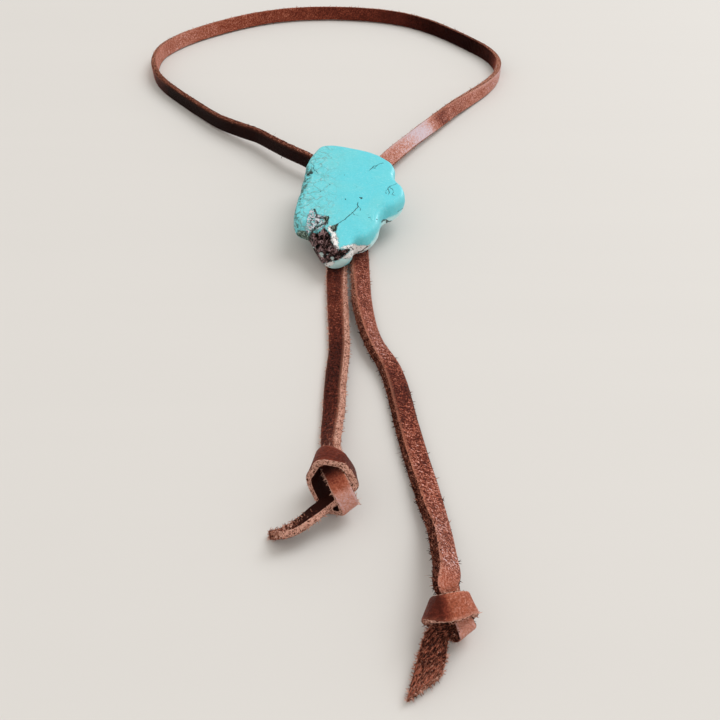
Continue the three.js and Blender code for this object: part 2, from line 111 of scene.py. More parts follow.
# Each knot's folds: bearing of the side, layers climbed, width, how far the lace is pinched before
# it, how far it stands up in a ridge on the way there, and how far the fold is turned askew.
KNOTS = {
    "right": {
        "at": (36.2, -160.2, 7.4), "turn": (-30, 0, 12), "side_off": 3.95, "layer": 2.2,
        "bulge": 0.32, "ridge": 1.6, "arch": 1, "enter": (0.2, 6.6, 5.2, 0),
        "folds": table("-62 -2 5 1.4 0 0, 158 3 5.8 0.6 0 -10, 18 -2 5.2 -0.8 1 4"),
        "leave": (-4.3, -3.9, 5.2, 1.1), "cut": (-3.8, 8),
        "end": table("31.5 -167.6 1.8 180, 30.5 -170.9 0.8 180, 29.5 -174.3 0.5 180"),
    },
    "left": {
        "at": (8.5, -123.3, 9.2), "turn": (12, -32, -10), "side_off": 4.1, "layer": 3.5,
        "bulge": 0.30, "ridge": 2.8, "arch": 2, "enter": (-0.9, 5.4, 6.2, 1.7),
        "folds": table("-58 -2 5 0.5 0 0, 162 3 6 0.6 0 0, 18 -2 5.2 -0.8 1 0"),
        "leave": (-3.8, -5.2, 5.2, 0.9), "cut": (1.2, 6),
        "end": table("1.6 -133.2 2 142, -2 -135 0.5 136, -5.7 -135.9 0.1 128"),
    },
}

# Where the lace is handled, bent or pulled, and lightened there by a little painted sheen: x, y,
# reach and how much it shows.
WORN = table("""
35.5 -139 15 1, 21.5 -69 12 0.7, 52 75 16 1, 7.6 -106 9 0.5, 7.7 -33 12 0.4, -26 53 14 0.4""")

# Tones along the lace from its left end, painted light and shade among them: length gone, darker
# (-) or lighter (+).
TONES_AND_PAINTED_LIGHT = {
    # The grain side: its own tone, with painted shade on faces turned from the window, painted
    # highlights on lit faces and knot facets, and above 1 a painted sheen of the window on the
    # loop.
    "tone": table("""
0 0.2, 24 -0.1, 34 0.15, 52 0.3, 59 0.75, 61 1, 64 1.12, 65.5 1, 67 0.6, 71 0.4, 74 -0.25, 78 -0.1,
83 0.2, 97 0, 112 -0.22, 120 -0.42, 128 -0.18, 135 0.08, 151 0.14, 165 -0.1, 195 -0.5, 225 -0.95,
322 -1, 332 -0.3, 340 0.4, 349 0.92, 386 0.82, 401 0.6, 431 0.48, 461 0.24, 492 -0.06, 507 -0.75,
537 -0.95, 552 -0.6, 560 0.3, 568 1.2, 583 0.95, 598 0.84, 613 0.62, 621 0.35, 629 1.2, 636 1.6,
645 1.2, 659 0.95, 675 0.4, 715 0.2, 735 0.4, 770 0.6, 781 0.2, 788 0, 797 0.25, 812 0.5, 833 0.55,
845 0.68, 856 0.75, 862 0.78, 868 0.98, 876 0.8, 881 0.4, 886 0, 888.8 -0.05, 891 0.68, 898 0.8,
902 0.3, 908 -0.6, 914 0, 922 0.3"""),
    # The cut edges: painted shade on edges turned from the window, painted light on lit ones.
    "edge_tone": table("""
0 0.9, 45 0.9, 66 0.95, 190 0.85, 215 0, 250 -0.3, 330 -0.2, 380 0.4, 480 0.2, 540 -0.3, 560 0.2,
640 0.4, 735 0.3, 760 -0.35, 800 -0.4, 870 -0.4, 881 0.2, 887 0.8, 899 0.8, 904 0.3, 922 0.5"""),
    # The flesh side: painted shade deep in the knots' hollows and on the shaded flesh at the cut
    # ends.
    "flesh_tone": table("""
0 -0.1, 7 -0.9, 16 -2.2, 60 -2.6, 70 0.1, 880 0, 904 -0.5, 915 -0.3, 922 0.1"""),
}
# The grain is mottled less where its tone paints the deepest shade.
LIVELY = table("-1 0.12, -0.55 1, 0.45 1, 1 0.85")  # how mottled the grain is, by its tone
PARED = (205, 715)  # between these lengths the flesh side is pared smooth
# How frayed the edges are by length gone: the one at the left of the grain, then the other.
FRAYED = table("""
0 0.6 0.9, 12 0.4 0.5, 20 0.12 0.2, 64 0.12 0.25, 70 0.6 1, 195 0.6 1, 215 0.3 0.6, 700 0.3 0.6,
740 0.06 1, 868 0.06 1, 876 0.1 0.15, 900 0.1 0.15, 906 0.8 0.8, 922 0.9 0.9""")
# How far the cut at the right of the grain slopes outward, by length gone.
SLOPED = table("84 0, 94 0.55, 192 0.6, 205 0, 735 0, 748 0.6, 858 0.7, 868 0")

# A ring of the lace's skin: shares across and up, and how far each corner is worn back.
FLESH_ROW = [0.975, 0.90, 0.75, 0.58, 0.40, 0.20, 0, -0.20, -0.40, -0.58, -0.75, -0.90, -0.975]
GRAIN_ROW = [-0.985, -0.93, -0.80, -0.60, -0.40, -0.20, 0, 0.20, 0.40, 0.60, 0.80, 0.93, 0.985]
CUT_COLUMN = [-0.72, -0.38, -0.02, 0.34, 0.66]
GRAIN_CORNER = {0.985: 0.40, 0.93: 0.13, 0.80: 0.02}
BURNISHED = {0.985: 0.5, 0.93: 1.0, 0.80: 0.55}
RAW_CORNER = {0.985: 0.85, 0.93: 0.35}
FLESH_CORNER = {0.975: 0.14, 0.90: 0.02}
CAP_SHARES = (0.95, 0.8, 0.6, 0.38, 0.16)

# ---- the slab ----

SLAB_THICKNESS = 8.6
TILT = math.radians(8)
SLAB_AT = (11.9, -4.3)
SLAB_FRONT = 3.3
CROWN = 0.5
CROWN_MIDDLE = (-1.5, 1.5)
CROWN_REACH = (20, 29)
SLAB_STEPS = 500
BASE_RINGS = 14
RIM_RINGS = 44
FACE_RINGS = 96
SIDE_REACH = 6  # steps to each side for the outline's direction
UNSET = -1.0
FAR = 9
WALL_LUMPS = 0.32
FACE_LUMPS = 0.16
GROOVE_DEPTH = 0.12  # of the cracks and the dark spots
RAGGED_MARKS = 0.16  # how far the markings' borders are shaken
SLAB_OUTLINE = table("""
19.2 3.1, 18.4 6.6, 16.1 10, 15.7 12.4, 16.1 15.6, 14.9 19, 10.6 23, 4.6 26.1, -1.3 27.9, -6.8 28.9,
-10.4 28.3, -12.8 25.4, -15.3 18.7, -16.5 10.2, -18 -0.6, -19 -8.6, -17.9 -11.9, -14 -14.3,
-11.9 -19.4, -9.5 -24.3, -6.4 -26.9, -3.4 -27, 0.3 -24.6, 2 -20.6, 5 -19.4, 7.6 -17.1, 9.9 -13,
10.6 -8.6, 12 -6.2, 14.8 -4.4, 18.1 -0.7""")
SLAB_LIFT = SLAB_FRONT - min(y for _, y in SLAB_OUTLINE) * math.cos(TILT) * math.tan(TILT)
# The rim from the underside up: how far inside the outline, and its height. Then the face.
RIM = table("""
1.5 0, 0.75 0.25, 0.4 0.8, 0.1 1.7, 0 2.8, 0 4.4, 0.1 5.8, 0.25 6.8, 0.6 7.6, 1.1 8.1, 1.6 8.33,
2.1 8.42""")
FACE = table("2.1 8.42, 3 8.52, 4.2 8.58, 7 8.6")

# The slab's markings, placed as seen slantwise from the front: a point at height z counts as lying
# SLANT times its depth below SLANT_FROM nearer the front.
SLANT = 1.108
SLANT_FROM = 8.8
ROCK = table("""
-8.3 -15.5, -7.1 -17.8, -6 -19.6, -5.7 -22.4, -4.7 -24.9, -3.4 -26.3, -1.3 -26, 0 -25.8, 0.5 -26.6,
-0.6 -27.9, -1.2 -29, -2.5 -30.3, -3.6 -31.4, -4.6 -31.6, -5.5 -31.8, -7.6 -33, -8.8 -33.6,
-10.4 -33.4, -12.4 -30, -14 -25.4, -13.8 -21.8, -13.4 -19.9, -12.4 -18, -10.8 -18.9, -9.3 -17.4,
-8.7 -15.9""")
CHALK = tables("""
-5.4 -17.9, -4.5 -18.4, -4.1 -20.9, -3.9 -23, -3.6 -25.4, -3.4 -26.4, -4.4 -25.6, -5 -24,
-5.8 -22.4, -6.2 -21.2, -5.6 -19.6;
-2.6 -25.6, -1.3 -24.7, 0 -24.3, 1.8 -23.9, 2.6 -24.9, 4.4 -24.8, 6.8 -24.7, 5.6 -27, 4.1 -28.4,
2.2 -28.4, 0.6 -28.2, -0.2 -27.6, 0.6 -26.6, 0 -25.7, -1.3 -25.9;
-8.4 -34, -7.2 -32, -5.7 -31.6, -4.9 -32.3, -5.6 -33.8, -6.8 -34.4;
-2.2 -30.2, -0.5 -28.2, 1.1 -28.1, 2 -28.8, 0.9 -30.2, -1.2 -30.5;
-6.9 -15.3, -5.8 -15, -5.2 -16.2, -5.4 -18.2, -6.2 -18.2, -6.8 -17""")
SILVER = table("""
-12.8 -6.6, -11.8 -7, -11.2 -9.2, -9.4 -9.8, -7.2 -10.4, -6.9 -12.6, -7.4 -14.6, -8.8 -15.4,
-10.2 -16.6, -11.8 -17.6, -12.8 -18, -13.7 -19.3, -14.7 -18, -14.8 -16.1, -14.3 -13.6, -14.2 -11,
-13.7 -9""")
OLIVE = tables("""
-18 -19, -17 -17.7, -15 -17.6, -14 -19, -13.3 -21.2, -13.2 -23.6, -14.4 -22.6, -15.6 -21.7,
-17.2 -20.8;
-6.4 -15.4, -5.3 -14.8, -4 -14, -4.3 -17.2, -5.2 -17.6, -6 -16.4;
-8.8 -10.8, -7 -10.2, -7 -12.6, -8.2 -13.6""")
# The wall at the left, with its dark blotches.
WALL = table("""
-12.8 15.4, -13.4 9, -14.8 3, -15.6 -3, -16.2 -9, -16.6 -13, -16.8 -18.4, -21.6 -18.4, -21.4 -8,
-20 1, -18.6 9, -15.8 16""")
# Painted light: the pale lip at the tip and the pale band along the lower right rim, lightened as
# if lit.
PAINTED_LIGHT_PATCHES = tables("""
-8.6 -34.4, -5.1 -32, -2.8 -30.2, -0.6 -28.2, 2 -28.6, 0.6 -32, -1.8 -35, -4.4 -36.6, -7.2 -36;
5.2 -28.8, 6 -25.2, 8.2 -21.4, 9.9 -17.4, 10.8 -13.6, 12.4 -11.6, 15.6 -9.8, 18.4 -6.6, 20.4 -1,
22 -1.6, 20.6 -8.4, 16.4 -13.4, 13.8 -15.4, 12 -21.5, 8.8 -27.6""")
# Width, then the points of each crack.
CRACKS = [(float(width), table(line)) for width, line in (
    part.split(":") for part in """
0.15: -5.4 -17.9, -4.6 -16.6, -4.8 -15, -4.2 -14.2, -2.9 -13.1, -1.6 -11.9, -0.2 -10.1, 1.2 -8.3,
2.3 -6.6, 3 -5.5, 2.7 -4.3, 2.9 -3.2;
0.1: 3 -5.5, 3.8 -6.3, 3.7 -7.6;
0.09: 1.2 -8.3, 1.6 -9.6, 3 -9.9;
0.32: -11.9 -6.7, -11.2 -9, -10.8 -11, -9.5 -11.3, -8.1 -11.3, -7.6 -12.9, -8.1 -14.6;
0.26: -6.8 -10.7, -7.4 -12.9, -7.2 -13.9;
0.5: -13.4 -20.6, -12.4 -18, -11.5 -16.5, -10.3 -15.2, -9 -14.2, -8.1 -13.6;
0.2: -6 -15.5, -5.3 -17.1, -4.6 -17.1, -4.3 -14.9, -3.8 -14.1;
0.24: -12.8 -17.4, -11.4 -15.5, -10.5 -13.9, -11 -12.3;
0.22: -13.4 -10.4, -12.4 -11.6, -13.2 -13.2, -12.2 -14.6;
0.13: 11.9 17.2, 10.7 16.9, 9.4 15.7, 8.4 15.5, 7.4 14, 6.9 13.2;
0.13: 9.4 15.7, 8.9 14.4, 7.8 14.9;
0.13: 16.8 6.6, 15.2 5.5, 13.7 4.6, 13.2 3.5, 13.8 1.6, 13.2 0.4;
0.1: 13.7 4.6, 14.9 3.2, 15.2 1.7, 14.4 0.6, 15.6 0.2;
0.1: 13.2 3.5, 12.4 2.2, 12.6 0.8;
0.2: 18.6 -6.3, 17.6 -7.3, 16.4 -8.3;
0.34: 11 -13.4, 11.6 -12.2, 12.7 -12.2, 13.4 -13.2, 14.7 -13;
0.3: 12.7 -12.2, 12.9 -14.2;
0.05: 5.6 -9.3, 7 -10.6, 7.6 -12.6, 9.5 -13;
0.12: -13.9 17.4, -12.6 15.9, -12.9 14.2, -11.4 12;
0.3: 4.4 -27.2, 5.2 -26.2, 6.2 -25.2;
0.26: 0.2 -25.2, 1 -25.6, 1.4 -26.6;
0.26: 3 -28.2, 4.4 -27.3, 5.9 -27.7""".split(";"))]
# x, y, radius of the pale chips set in the rock, and of the dark spots.
GLINTS = table("""
-9.2 -28.4 0.75, -9 -29.6 0.5, -5.5 -30.2 0.6, -5.4 -31 0.4, -5.9 -24.7 0.4, -12 -25.6 0.35,
-7 -28.6 0.3""")
SPOTS = table("""
4.1 -1.3 0.42, 3.6 -1 0.3, -1.4 -1.8 0.26, -13.6 12 0.8, -14.6 11 0.6, 6.6 -10.9 0.22,
9.3 -11.9 0.26, -4.4 -2.2 0.14, -6.9 5.6 0.16, -1.9 10.8 0.16, 11.8 -12.4 0.5, 4.1 -27.6 0.35,
-9.9 2.1 0.2, 2.5 4.4 0.12, -7.9 -4.6 0.15, 7.7 8.9 0.12, 2.4 -25.6 0.3, 3.2 -28 0.4,
-11.2 -13.6 0.3, -9.6 -12.6 0.34""")
MARKINGS = {"rock": [ROCK], "chalk": CHALK, "silver": [SILVER], "olive": OLIVE, "wall": [WALL],
            "pale": PAINTED_LIGHT_PATCHES}
# The outline of the broken hollow, and the depth and outline of each flaked patch.
HOLLOW = table("""
-10.8 -15.6, -8.6 -16.9, -6.5 -17.4, -5.8 -20, -5 -23, -4 -25.2, -2.2 -25.4, 0.6 -25, 1.6 -26.6,
-1 -29, -3 -32, -14 -34, -18 -24, -13.4 -18.2""")
CHIPS = [(0.45, SILVER), (0.35, OLIVE[1]), (0.9, OLIVE[0])]

# ---- the keeper and the stage ----

KEEPER_AT = (11.3, 6.0)
KEEPER_LENGTH = 12.0
KEEPER_WALL = 1.5
KEEPER_GAP = 0.45
KEEPER_LOOP = 120
KEEPER_RINGS = (22, 14)  # outside and inside
LIP_RINGS = 9
SQUARENESS = 0.22
LACE_SPACING = 6.6
SEAT_GAP = 0.3
KEEPER_PEBBLES = 0.035
# How deep and how wide the crease beside each lip is, and how far it lies from the keeper's end.
KEEPER_CREASE = (0.14, 0.22, 2.0)

CAMERA_AT = (15.57, -262.97, 185.0)
CAMERA_PITCH = 46
CAMERA_LENS = 44
CAMERA_SENSOR = 36
FLOOR_REACH = 4
GLOSSY_SHARE = 0.07  # how much of the fill light shows as a reflection
SKY_TINT = (1.0, 0.95, 0.895)
# Each lamp's setting, size and place in metres, tint, and what it doesn't light.
LAMPS = {
    "window": ("window", (1.2, 1.7), (1.12, 0.88, 1.95), (0.975, 0.985, 1.0), "visible_glossy"),
    "low window": ("gleam", (1.3, 0.9), (2.0, 1.7, 0.62), (0.92, 0.94, 1.0), "visible_diffuse"),
}
LAMPS_AIM = (0.02, 0, 0)


def colour(label, about, default):
    return FloatVectorProperty(name=label, description=about, default=default, subtype="COLOR")


def length(label, about, size, least=0):
    return FloatProperty(name=label, description=about, default=size * MM, min=least * MM,
                         unit="LENGTH")


def number(label, about, default, unit="NONE"):
    return FloatProperty(name=label, description=about, default=default, min=0, unit=unit)


class LaceSettings(bpy.types.PropertyGroup):
    """Sizes and colours of the leather lace."""

    ring_step: length("Ring step", "Length between rings of the skin", 0.46, 0.2)
    knot_ring_step: length("Knot ring step", "Length between rings in the knots", 0.34, 0.15)
    nap: length("Nap height", "Roughness of the flesh side", 0.15)
    raggedness: length("Ragged edges", "Unevenness of the cut edges", 0.24)
    # Painted shade: the grain side's colour in the deepest painted shade.
    grain_in_shade: colour("Grain, darkest", "Colour of the grain side where it is darkest",
                       (0.0120, 0.0016, 0.0012))
    grain_mid: colour("Grain", "Usual colour of the grain side", (0.118, 0.024, 0.0155))
    grain_red: colour("Grain, red", "Colour of the grain side's redder parts",
                      (0.26, 0.054, 0.032))
    # Painted light: the grain side's colour on lit faces.
    grain_lit: colour("Grain, worn", "Colour where the grain side is rubbed",
                       (0.48, 0.137, 0.076))
    # Painted light: the grain side's colour on brightly lit faces and knot facets.
    grain_brightly_lit: colour("Grain, pulled", "Colour where the grain side is pulled tight",
                        (0.74, 0.34, 0.262))
    # Painted reflection: a lavender sheen of the window on the grain side.
    grain_painted_sheen: colour("Grain, polished", "Colour where the grain side is polished",
                        (0.80, 0.66, 0.73))
    cut_light: colour("Cut edge, light", "Colour of the palest fibres of a cut edge",
                      (0.80, 0.47, 0.37))
    cut_mid: colour("Cut edge", "Colour of the raw cut edges", (0.42, 0.16, 0.10))
    # Painted shade: cut edges turned from the window come down to this colour, as do the dark
    # crumbs.
    cut_dark_and_shaded: colour("Cut edge, dyed", "Colour of a cut edge soaked with dye",
                     (0.080, 0.017, 0.011))
    flesh_light: colour("Flesh side", "Colour of the nap", (0.42, 0.13, 0.080))
    flesh_dark: colour("Flesh side, shade", "Colour deep in the nap", (0.028, 0.007, 0.005))


class FibreSettings(bpy.types.PropertyGroup):
    """The loose fibres on the lace's cut edges and flesh side."""

    tuft_density: number("Tufts per square metre", "How many short tufts stand on a cut edge",
                         3200000)
    tuft_length: length("Tuft length", "Length of a short tuft", 0.88)
    tuft_radius: length("Tuft radius", "Thickness of a tuft at its root", 0.14)
    hair_density: number("Hairs per square metre", "How many long hairs stand on a cut edge",
                         60000)
    hair_length: length("Hair length", "Length of a long hair", 1.5)
    hair_radius: length("Hair radius", "Thickness of a long hair at its root", 0.05)
    seed: IntProperty(name="Seed", description="Changes where the fibres stand", default=7)


class StoneSettings(bpy.types.PropertyGroup):
    """Sizes and colours of the turquoise slab."""

    turquoise: colour("Turquoise", "Colour of the slab", (0.132, 0.650, 0.745))
    green: colour("Greener parts", "Colour of the paler, greener parts", (0.205, 0.660, 0.675))
    rock: colour("Rock", "Colour of the brown rock in the hollow", (0.040, 0.016, 0.015))
    rock_light: colour("Rock crystals", "Colour of the rock's light crystals",
                       (0.22, 0.110, 0.105))
    chalk: colour("Chalk", "Colour of the white patches", (0.98, 0.98, 0.97))
    vein: colour("Veins", "Colour of the cracks and spots", (0.030, 0.033, 0.026))
    hollow_depth: length("Hollow depth", "Depth of the broken hollow", 2.6)


class KeeperSettings(bpy.types.PropertyGroup):
    """The leather keeper behind the slab."""

    colour: colour("Leather", "Colour of the keeper's leather", (0.16, 0.050, 0.034))
    lip: length("Lip radius", "Rounding of the keeper's ends", 0.7, 0.1)


class StageSettings(bpy.types.PropertyGroup):
    """Floor and lights."""

    floor: colour("Floor", "Colour of the floor", (0.665, 0.655, 0.635))
    window: number("Window", "Power of the window light", 29.5, "POWER")
    gleam: number("Low window", "Power of the light that gleams on edges", 48.0, "POWER")
    sky: number("Fill", "Strength of the light from all round", 0.81)


# ---- numbers ----

def mixed(a, b, t):
    return a + (b - a) * t


def smooth(low, high, value):
    t = np.clip((value - low) / (high - low), 0, 1)
    return t * t * (3 - 2 * t)


def unit(v):
    return v / np.maximum(np.linalg.norm(v, axis=-1, keepdims=True), 1e-12)


def whole(value):
    return math.floor(value + 0.5)


def length_gone(points):
    return np.concatenate([[0], np.cumsum(np.linalg.norm(np.diff(points, axis=0), axis=1))])


def rough(points, octaves=1, gain=0.5):
    """Smooth noise at each point, about -1 to 1, with finer and finer octaves."""
    total = np.zeros(len(points))
    for octave in range(octaves):
        scaled = points * 2 ** octave + 17.3 * octave
        values = [noise.noise(Vector(p)) for p in scaled.tolist()]
        total += gain ** octave * np.array(values)
    return total


def rough_map(across, up, layer, octaves, gain=0.5):
    return rough(np.column_stack([across, up, across * 0 + layer]), octaves, gain)


def ring_faces(rings, size):
    """Quads between rings of points, each ring closed on itself."""
    i, j = np.meshgrid(np.arange(rings - 1), np.arange(size), indexing="ij")
    a = (i * size + j).ravel()
    b = (i * size + (j + 1) % size).ravel()
    return np.column_stack([a, b, b + size, a + size])


# ---- the lace's path ----

def catmull_rom(a, b, c, d, t):
    return 0.5 * (2 * b + (c - a) * t + (2 * a - 5 * b + 4 * c - d) * t * t
                  + (3 * b - a - 3 * c + d) * t * t * t)


def resting_height(lean):
    a = math.radians(lean)
    return LACE_WIDTH / 2 * abs(math.sin(a)) + LACE_THICKNESS / 2 * abs(math.cos(a))


def grain_direction(ahead, lean):
    left = Vector((0, 0, 1)).cross(ahead).normalized()
    up = ahead.cross(left).normalized()
    a = math.radians(lean)
    return up * math.cos(a) + left * math.sin(a)


def row_stations(rows, step, nearby=0.02):
    """Stations (middle, grain side's direction, width, tied) along a table's rows."""
    def at(i):
        return rows[min(len(rows) - 1, max(0, i))]

    def place(i, t):
        x, y, lift, lean = (catmull_rom(*nodes, t) for nodes in zip(*map(at, range(i - 1, i + 3))))
        return lean, Vector((x, y, max(0, lift) + resting_height(lean)))

    stations = []
    for i in range(len(rows) - 1):
        span = math.hypot(at(i + 1)[0] - at(i)[0], at(i + 1)[1] - at(i)[1])
        steps = max(2, whole(span / step))
        for k in range(steps + (i == len(rows) - 2)):
            t = k / steps
            lean, middle = place(i, t)
            ahead = place(i, min(1, t + nearby))[1] - place(i, max(0, t - nearby))[1]
            stations.append((middle, grain_direction(ahead.normalized(), lean), LACE_WIDTH, 0))
    return stations


def fold_at(heading, phi, radius, bulge):
    """The turn at a fold whose line lies along phi."""
    d = Vector((math.cos(heading), math.sin(heading), 0))
    along = Vector((math.cos(phi), math.sin(phi), 0))
    if d.dot(along) < 0:
        along.negate()
    out = Vector((-along.y, along.x, 0))
    if d.dot(out) < 0:
        out.negate()
    half_turn = math.pi * radius * (1 + bulge) / 2
    across = max(SHARPEST_TURN, d.dot(out))
    return along, out, d.dot(along) / across * half_turn, half_turn / across


def solve_fold(here, middle, after, radius, bulge, askew):
    """The fold centred on a side's middle that takes the lace from here on to after."""
    start, stop = middle.copy(), middle.copy()
    for _ in range(FOLD_ROUNDS):
        heading = math.atan2(start.y - here.y, start.x - here.x)
        leaving = math.atan2(after[1] - stop.y, after[0] - stop.x)
        turn = math.atan2(math.sin(leaving - heading), math.cos(leaving - heading))
        fold = fold_at(heading, heading + turn / 2 + math.radians(askew), radius, bulge)
        start = start.lerp(middle - fold[0] * fold[2] / 2, FOLD_SHARE)
        stop = stop.lerp(middle + fold[0] * fold[2] / 2, FOLD_SHARE)
    return (*fold, start)


def knot_stations(knot):
    """The lace's stations through a knot and on to its cut end."""
    stations = []
    layer, bulge, folds, leave = (knot[k] for k in ("layer", "bulge", "folds", "leave"))

    def side_middle(bearing, z):
        a = math.radians(bearing)
        return Vector((knot["side_off"] * math.cos(a), knot["side_off"] * math.sin(a), z))

    def squeezed(before, width, pinch, t):
        return mixed(before, width, t) - 4 * pinch * t * (1 - t)

    x, y, before, rise = knot["enter"]
    here = Vector((x, y, 0))
    side = 1
    for i, (bearing, layers, width, pinch, ridged, askew) in enumerate(folds):
        after = side_middle(folds[i + 1][0], 0) if i + 1 < len(folds) else leave
        radius = abs(layers) * layer / 2
        climb = math.copysign(1, layers)
        along, out, advance, arc, start = solve_fold(here, side_middle(bearing, here.z), after,
                                                     radius, bulge, askew)
        steps = max(2, whole((here - start).length / KNOT_STEP))
        for k in range(steps):
            t = k / steps
            p = here.lerp(start, t)
            p.z += ridged * knot["ridge"] * (1 - abs(2 * t - 1) ** knot["arch"])
            p.z += rise * (1 - t)
            stations.append((p, Vector((0, 0, side)), squeezed(before, width, pinch, t), 1))
        steps = max(7, whole(arc / KNOT_STEP))
        for k in range(steps):
            a = math.pi * k / steps
            p = start + along * (advance * k / steps) + out * (radius * bulge * math.sin(a))
            p.z += climb * radius * (1 - math.cos(a))
            outward = out * (math.sin(a) / bulge)
            outward.z = -climb * math.cos(a)
            stations.append((p, (outward * (-climb * side)).normalized(), width, 1))
        here = start + along * advance
        here.z += climb * 2 * radius
        rise, before, side = 0, width, -side
    out = Vector((leave[0], leave[1], here.z))
    steps = whole((here - out).length / KNOT_STEP)
    for k in range(steps + 1):
        stations.append((here.lerp(out, k / steps), Vector((0, 0, side)),
                         squeezed(before, leave[2], leave[3], k / steps), 1))
    pitch, roll, yaw = (math.radians(a) for a in knot["turn"])
    turned = (Matrix.Rotation(yaw, 3, "Z") @ Matrix.Rotation(-pitch, 3, "X")
              @ Matrix.Rotation(roll, 3, "Y"))
    at = Vector(knot["at"])
    return ([(turned @ p + at, turned @ n, w, tied) for p, n, w, tied in stations]
            + row_stations(knot["end"], KNOT_STEP))


def softened(stations):
    """The path with its stretches rounded together: arrays of middle, grain side, width, tied."""
    p, n, width, tied = (np.array(column, float) for column in zip(*stations))
    gone = length_gone(p)
    reach = np.minimum(SOFTNESS, np.minimum(gone / 2, (gone[-1] - gone) / 2))
    apart = np.abs(gone[:, None] - gone[None, :])
    weight = np.exp(-0.5 * (apart / np.maximum(1e-6, reach)[:, None]) ** 2)
    weight /= weight.sum(axis=1, keepdims=True)
    tied = np.maximum(0, (tied[None, :] * (1 - apart / TIED_REACH)).max(axis=1))
    return gone, weight @ p, unit(weight @ n), weight @ width, tied


def finer(gone, values, at):
    """Rows of values between stations, on one smooth curve through them."""
    h = np.diff(gone)[:, None]
    slope = np.diff(values, axis=0) / h
    tangent = np.empty_like(values)
    tangent[1:-1] = (slope[:-1] * h[1:] + slope[1:] * h[:-1]) / (h[1:] + h[:-1])
    tangent[0], tangent[-1] = slope[0], slope[-1]
    i = np.clip(np.searchsorted(gone, at, side="right") - 1, 0, len(gone) - 2)
    d = h[i]
    t = (at[:, None] - gone[i][:, None]) / d
    return ((1 + 2 * t) * (1 - t) ** 2 * values[i] + t * (1 - t) ** 2 * d * tangent[i]
            + t * t * (3 - 2 * t) * values[i + 1] - t * t * (1 - t) * d * tangent[i + 1])


def lace_line(ring_step, knot_ring_step):
    """The lace from cut end to cut end, in millimetres in the object's frame."""
    gone, p, n, width, tied = softened(knot_stations(KNOTS["left"])[::-1]
                                       + row_stations(ROUTE, ROUTE_STEP)
                                       + knot_stations(KNOTS["right"]))
    at = [0.0]
    while at[-1] < gone[-1]:
        near = np.interp(at[-1], gone, tied)
        at.append(at[-1] + mixed(ring_step, knot_ring_step, min(1, 2 * near)))
    at = np.array(at) * (gone[-1] / at[-1])
    fine = finer(gone, np.column_stack([p - ORIGIN, n, width]), at)
    middle, grain = fine[:, :3], fine[:, 3:6]
    ahead = unit(np.gradient(middle, axis=0))
    grain = unit(grain - ahead * (grain * ahead).sum(axis=1, keepdims=True))
    return {"gone": at, "middle": middle, "ahead": ahead, "grain": grain, "width": fine[:, 6],
            "across": np.cross(ahead, grain), "tied": np.interp(at, gone, tied)}


def ring_pattern():
    """One ring of the skin: shares across and up, worn corners, outward lean, the four masks."""
    rows = [(s, -1, 0, FLESH_CORNER.get(abs(s), 0), 0.6 * s ** 9, -1, 0, 0, 1, 0)
            for s in FLESH_ROW]
    rows += [(-1, s, 0, 0, -1, 0.25 * s, 0, 1, 0, 0) for s in CUT_COLUMN]
    for s in GRAIN_ROW:
        raw = RAW_CORNER.get(abs(s), 0)
        rows.append((s, 1, 0, -GRAIN_CORNER.get(abs(s), 0), 0.7 * s ** 9, 1, 1 - raw, raw, 0,
                     BURNISHED.get(s, 0.25 * BURNISHED.get(-s, 0))))
    rows += [(1, s, 0, 0, 1, 0.25 * s, 0, 1, 0, 0) for s in reversed(CUT_COLUMN)]
    return np.array(rows, float)


def wear_along(line):
    """How handled each ring is."""
    x, y, _ = (line["middle"] + ORIGIN).T
    worn = np.max([amount * (1 - smooth(0.3 * reach, reach, np.hypot(x - at_x, y - at_y)))
                   for at_x, at_y, reach, amount in WORN], axis=0)
    return worn * (1 - 0.5 * line["tied"])


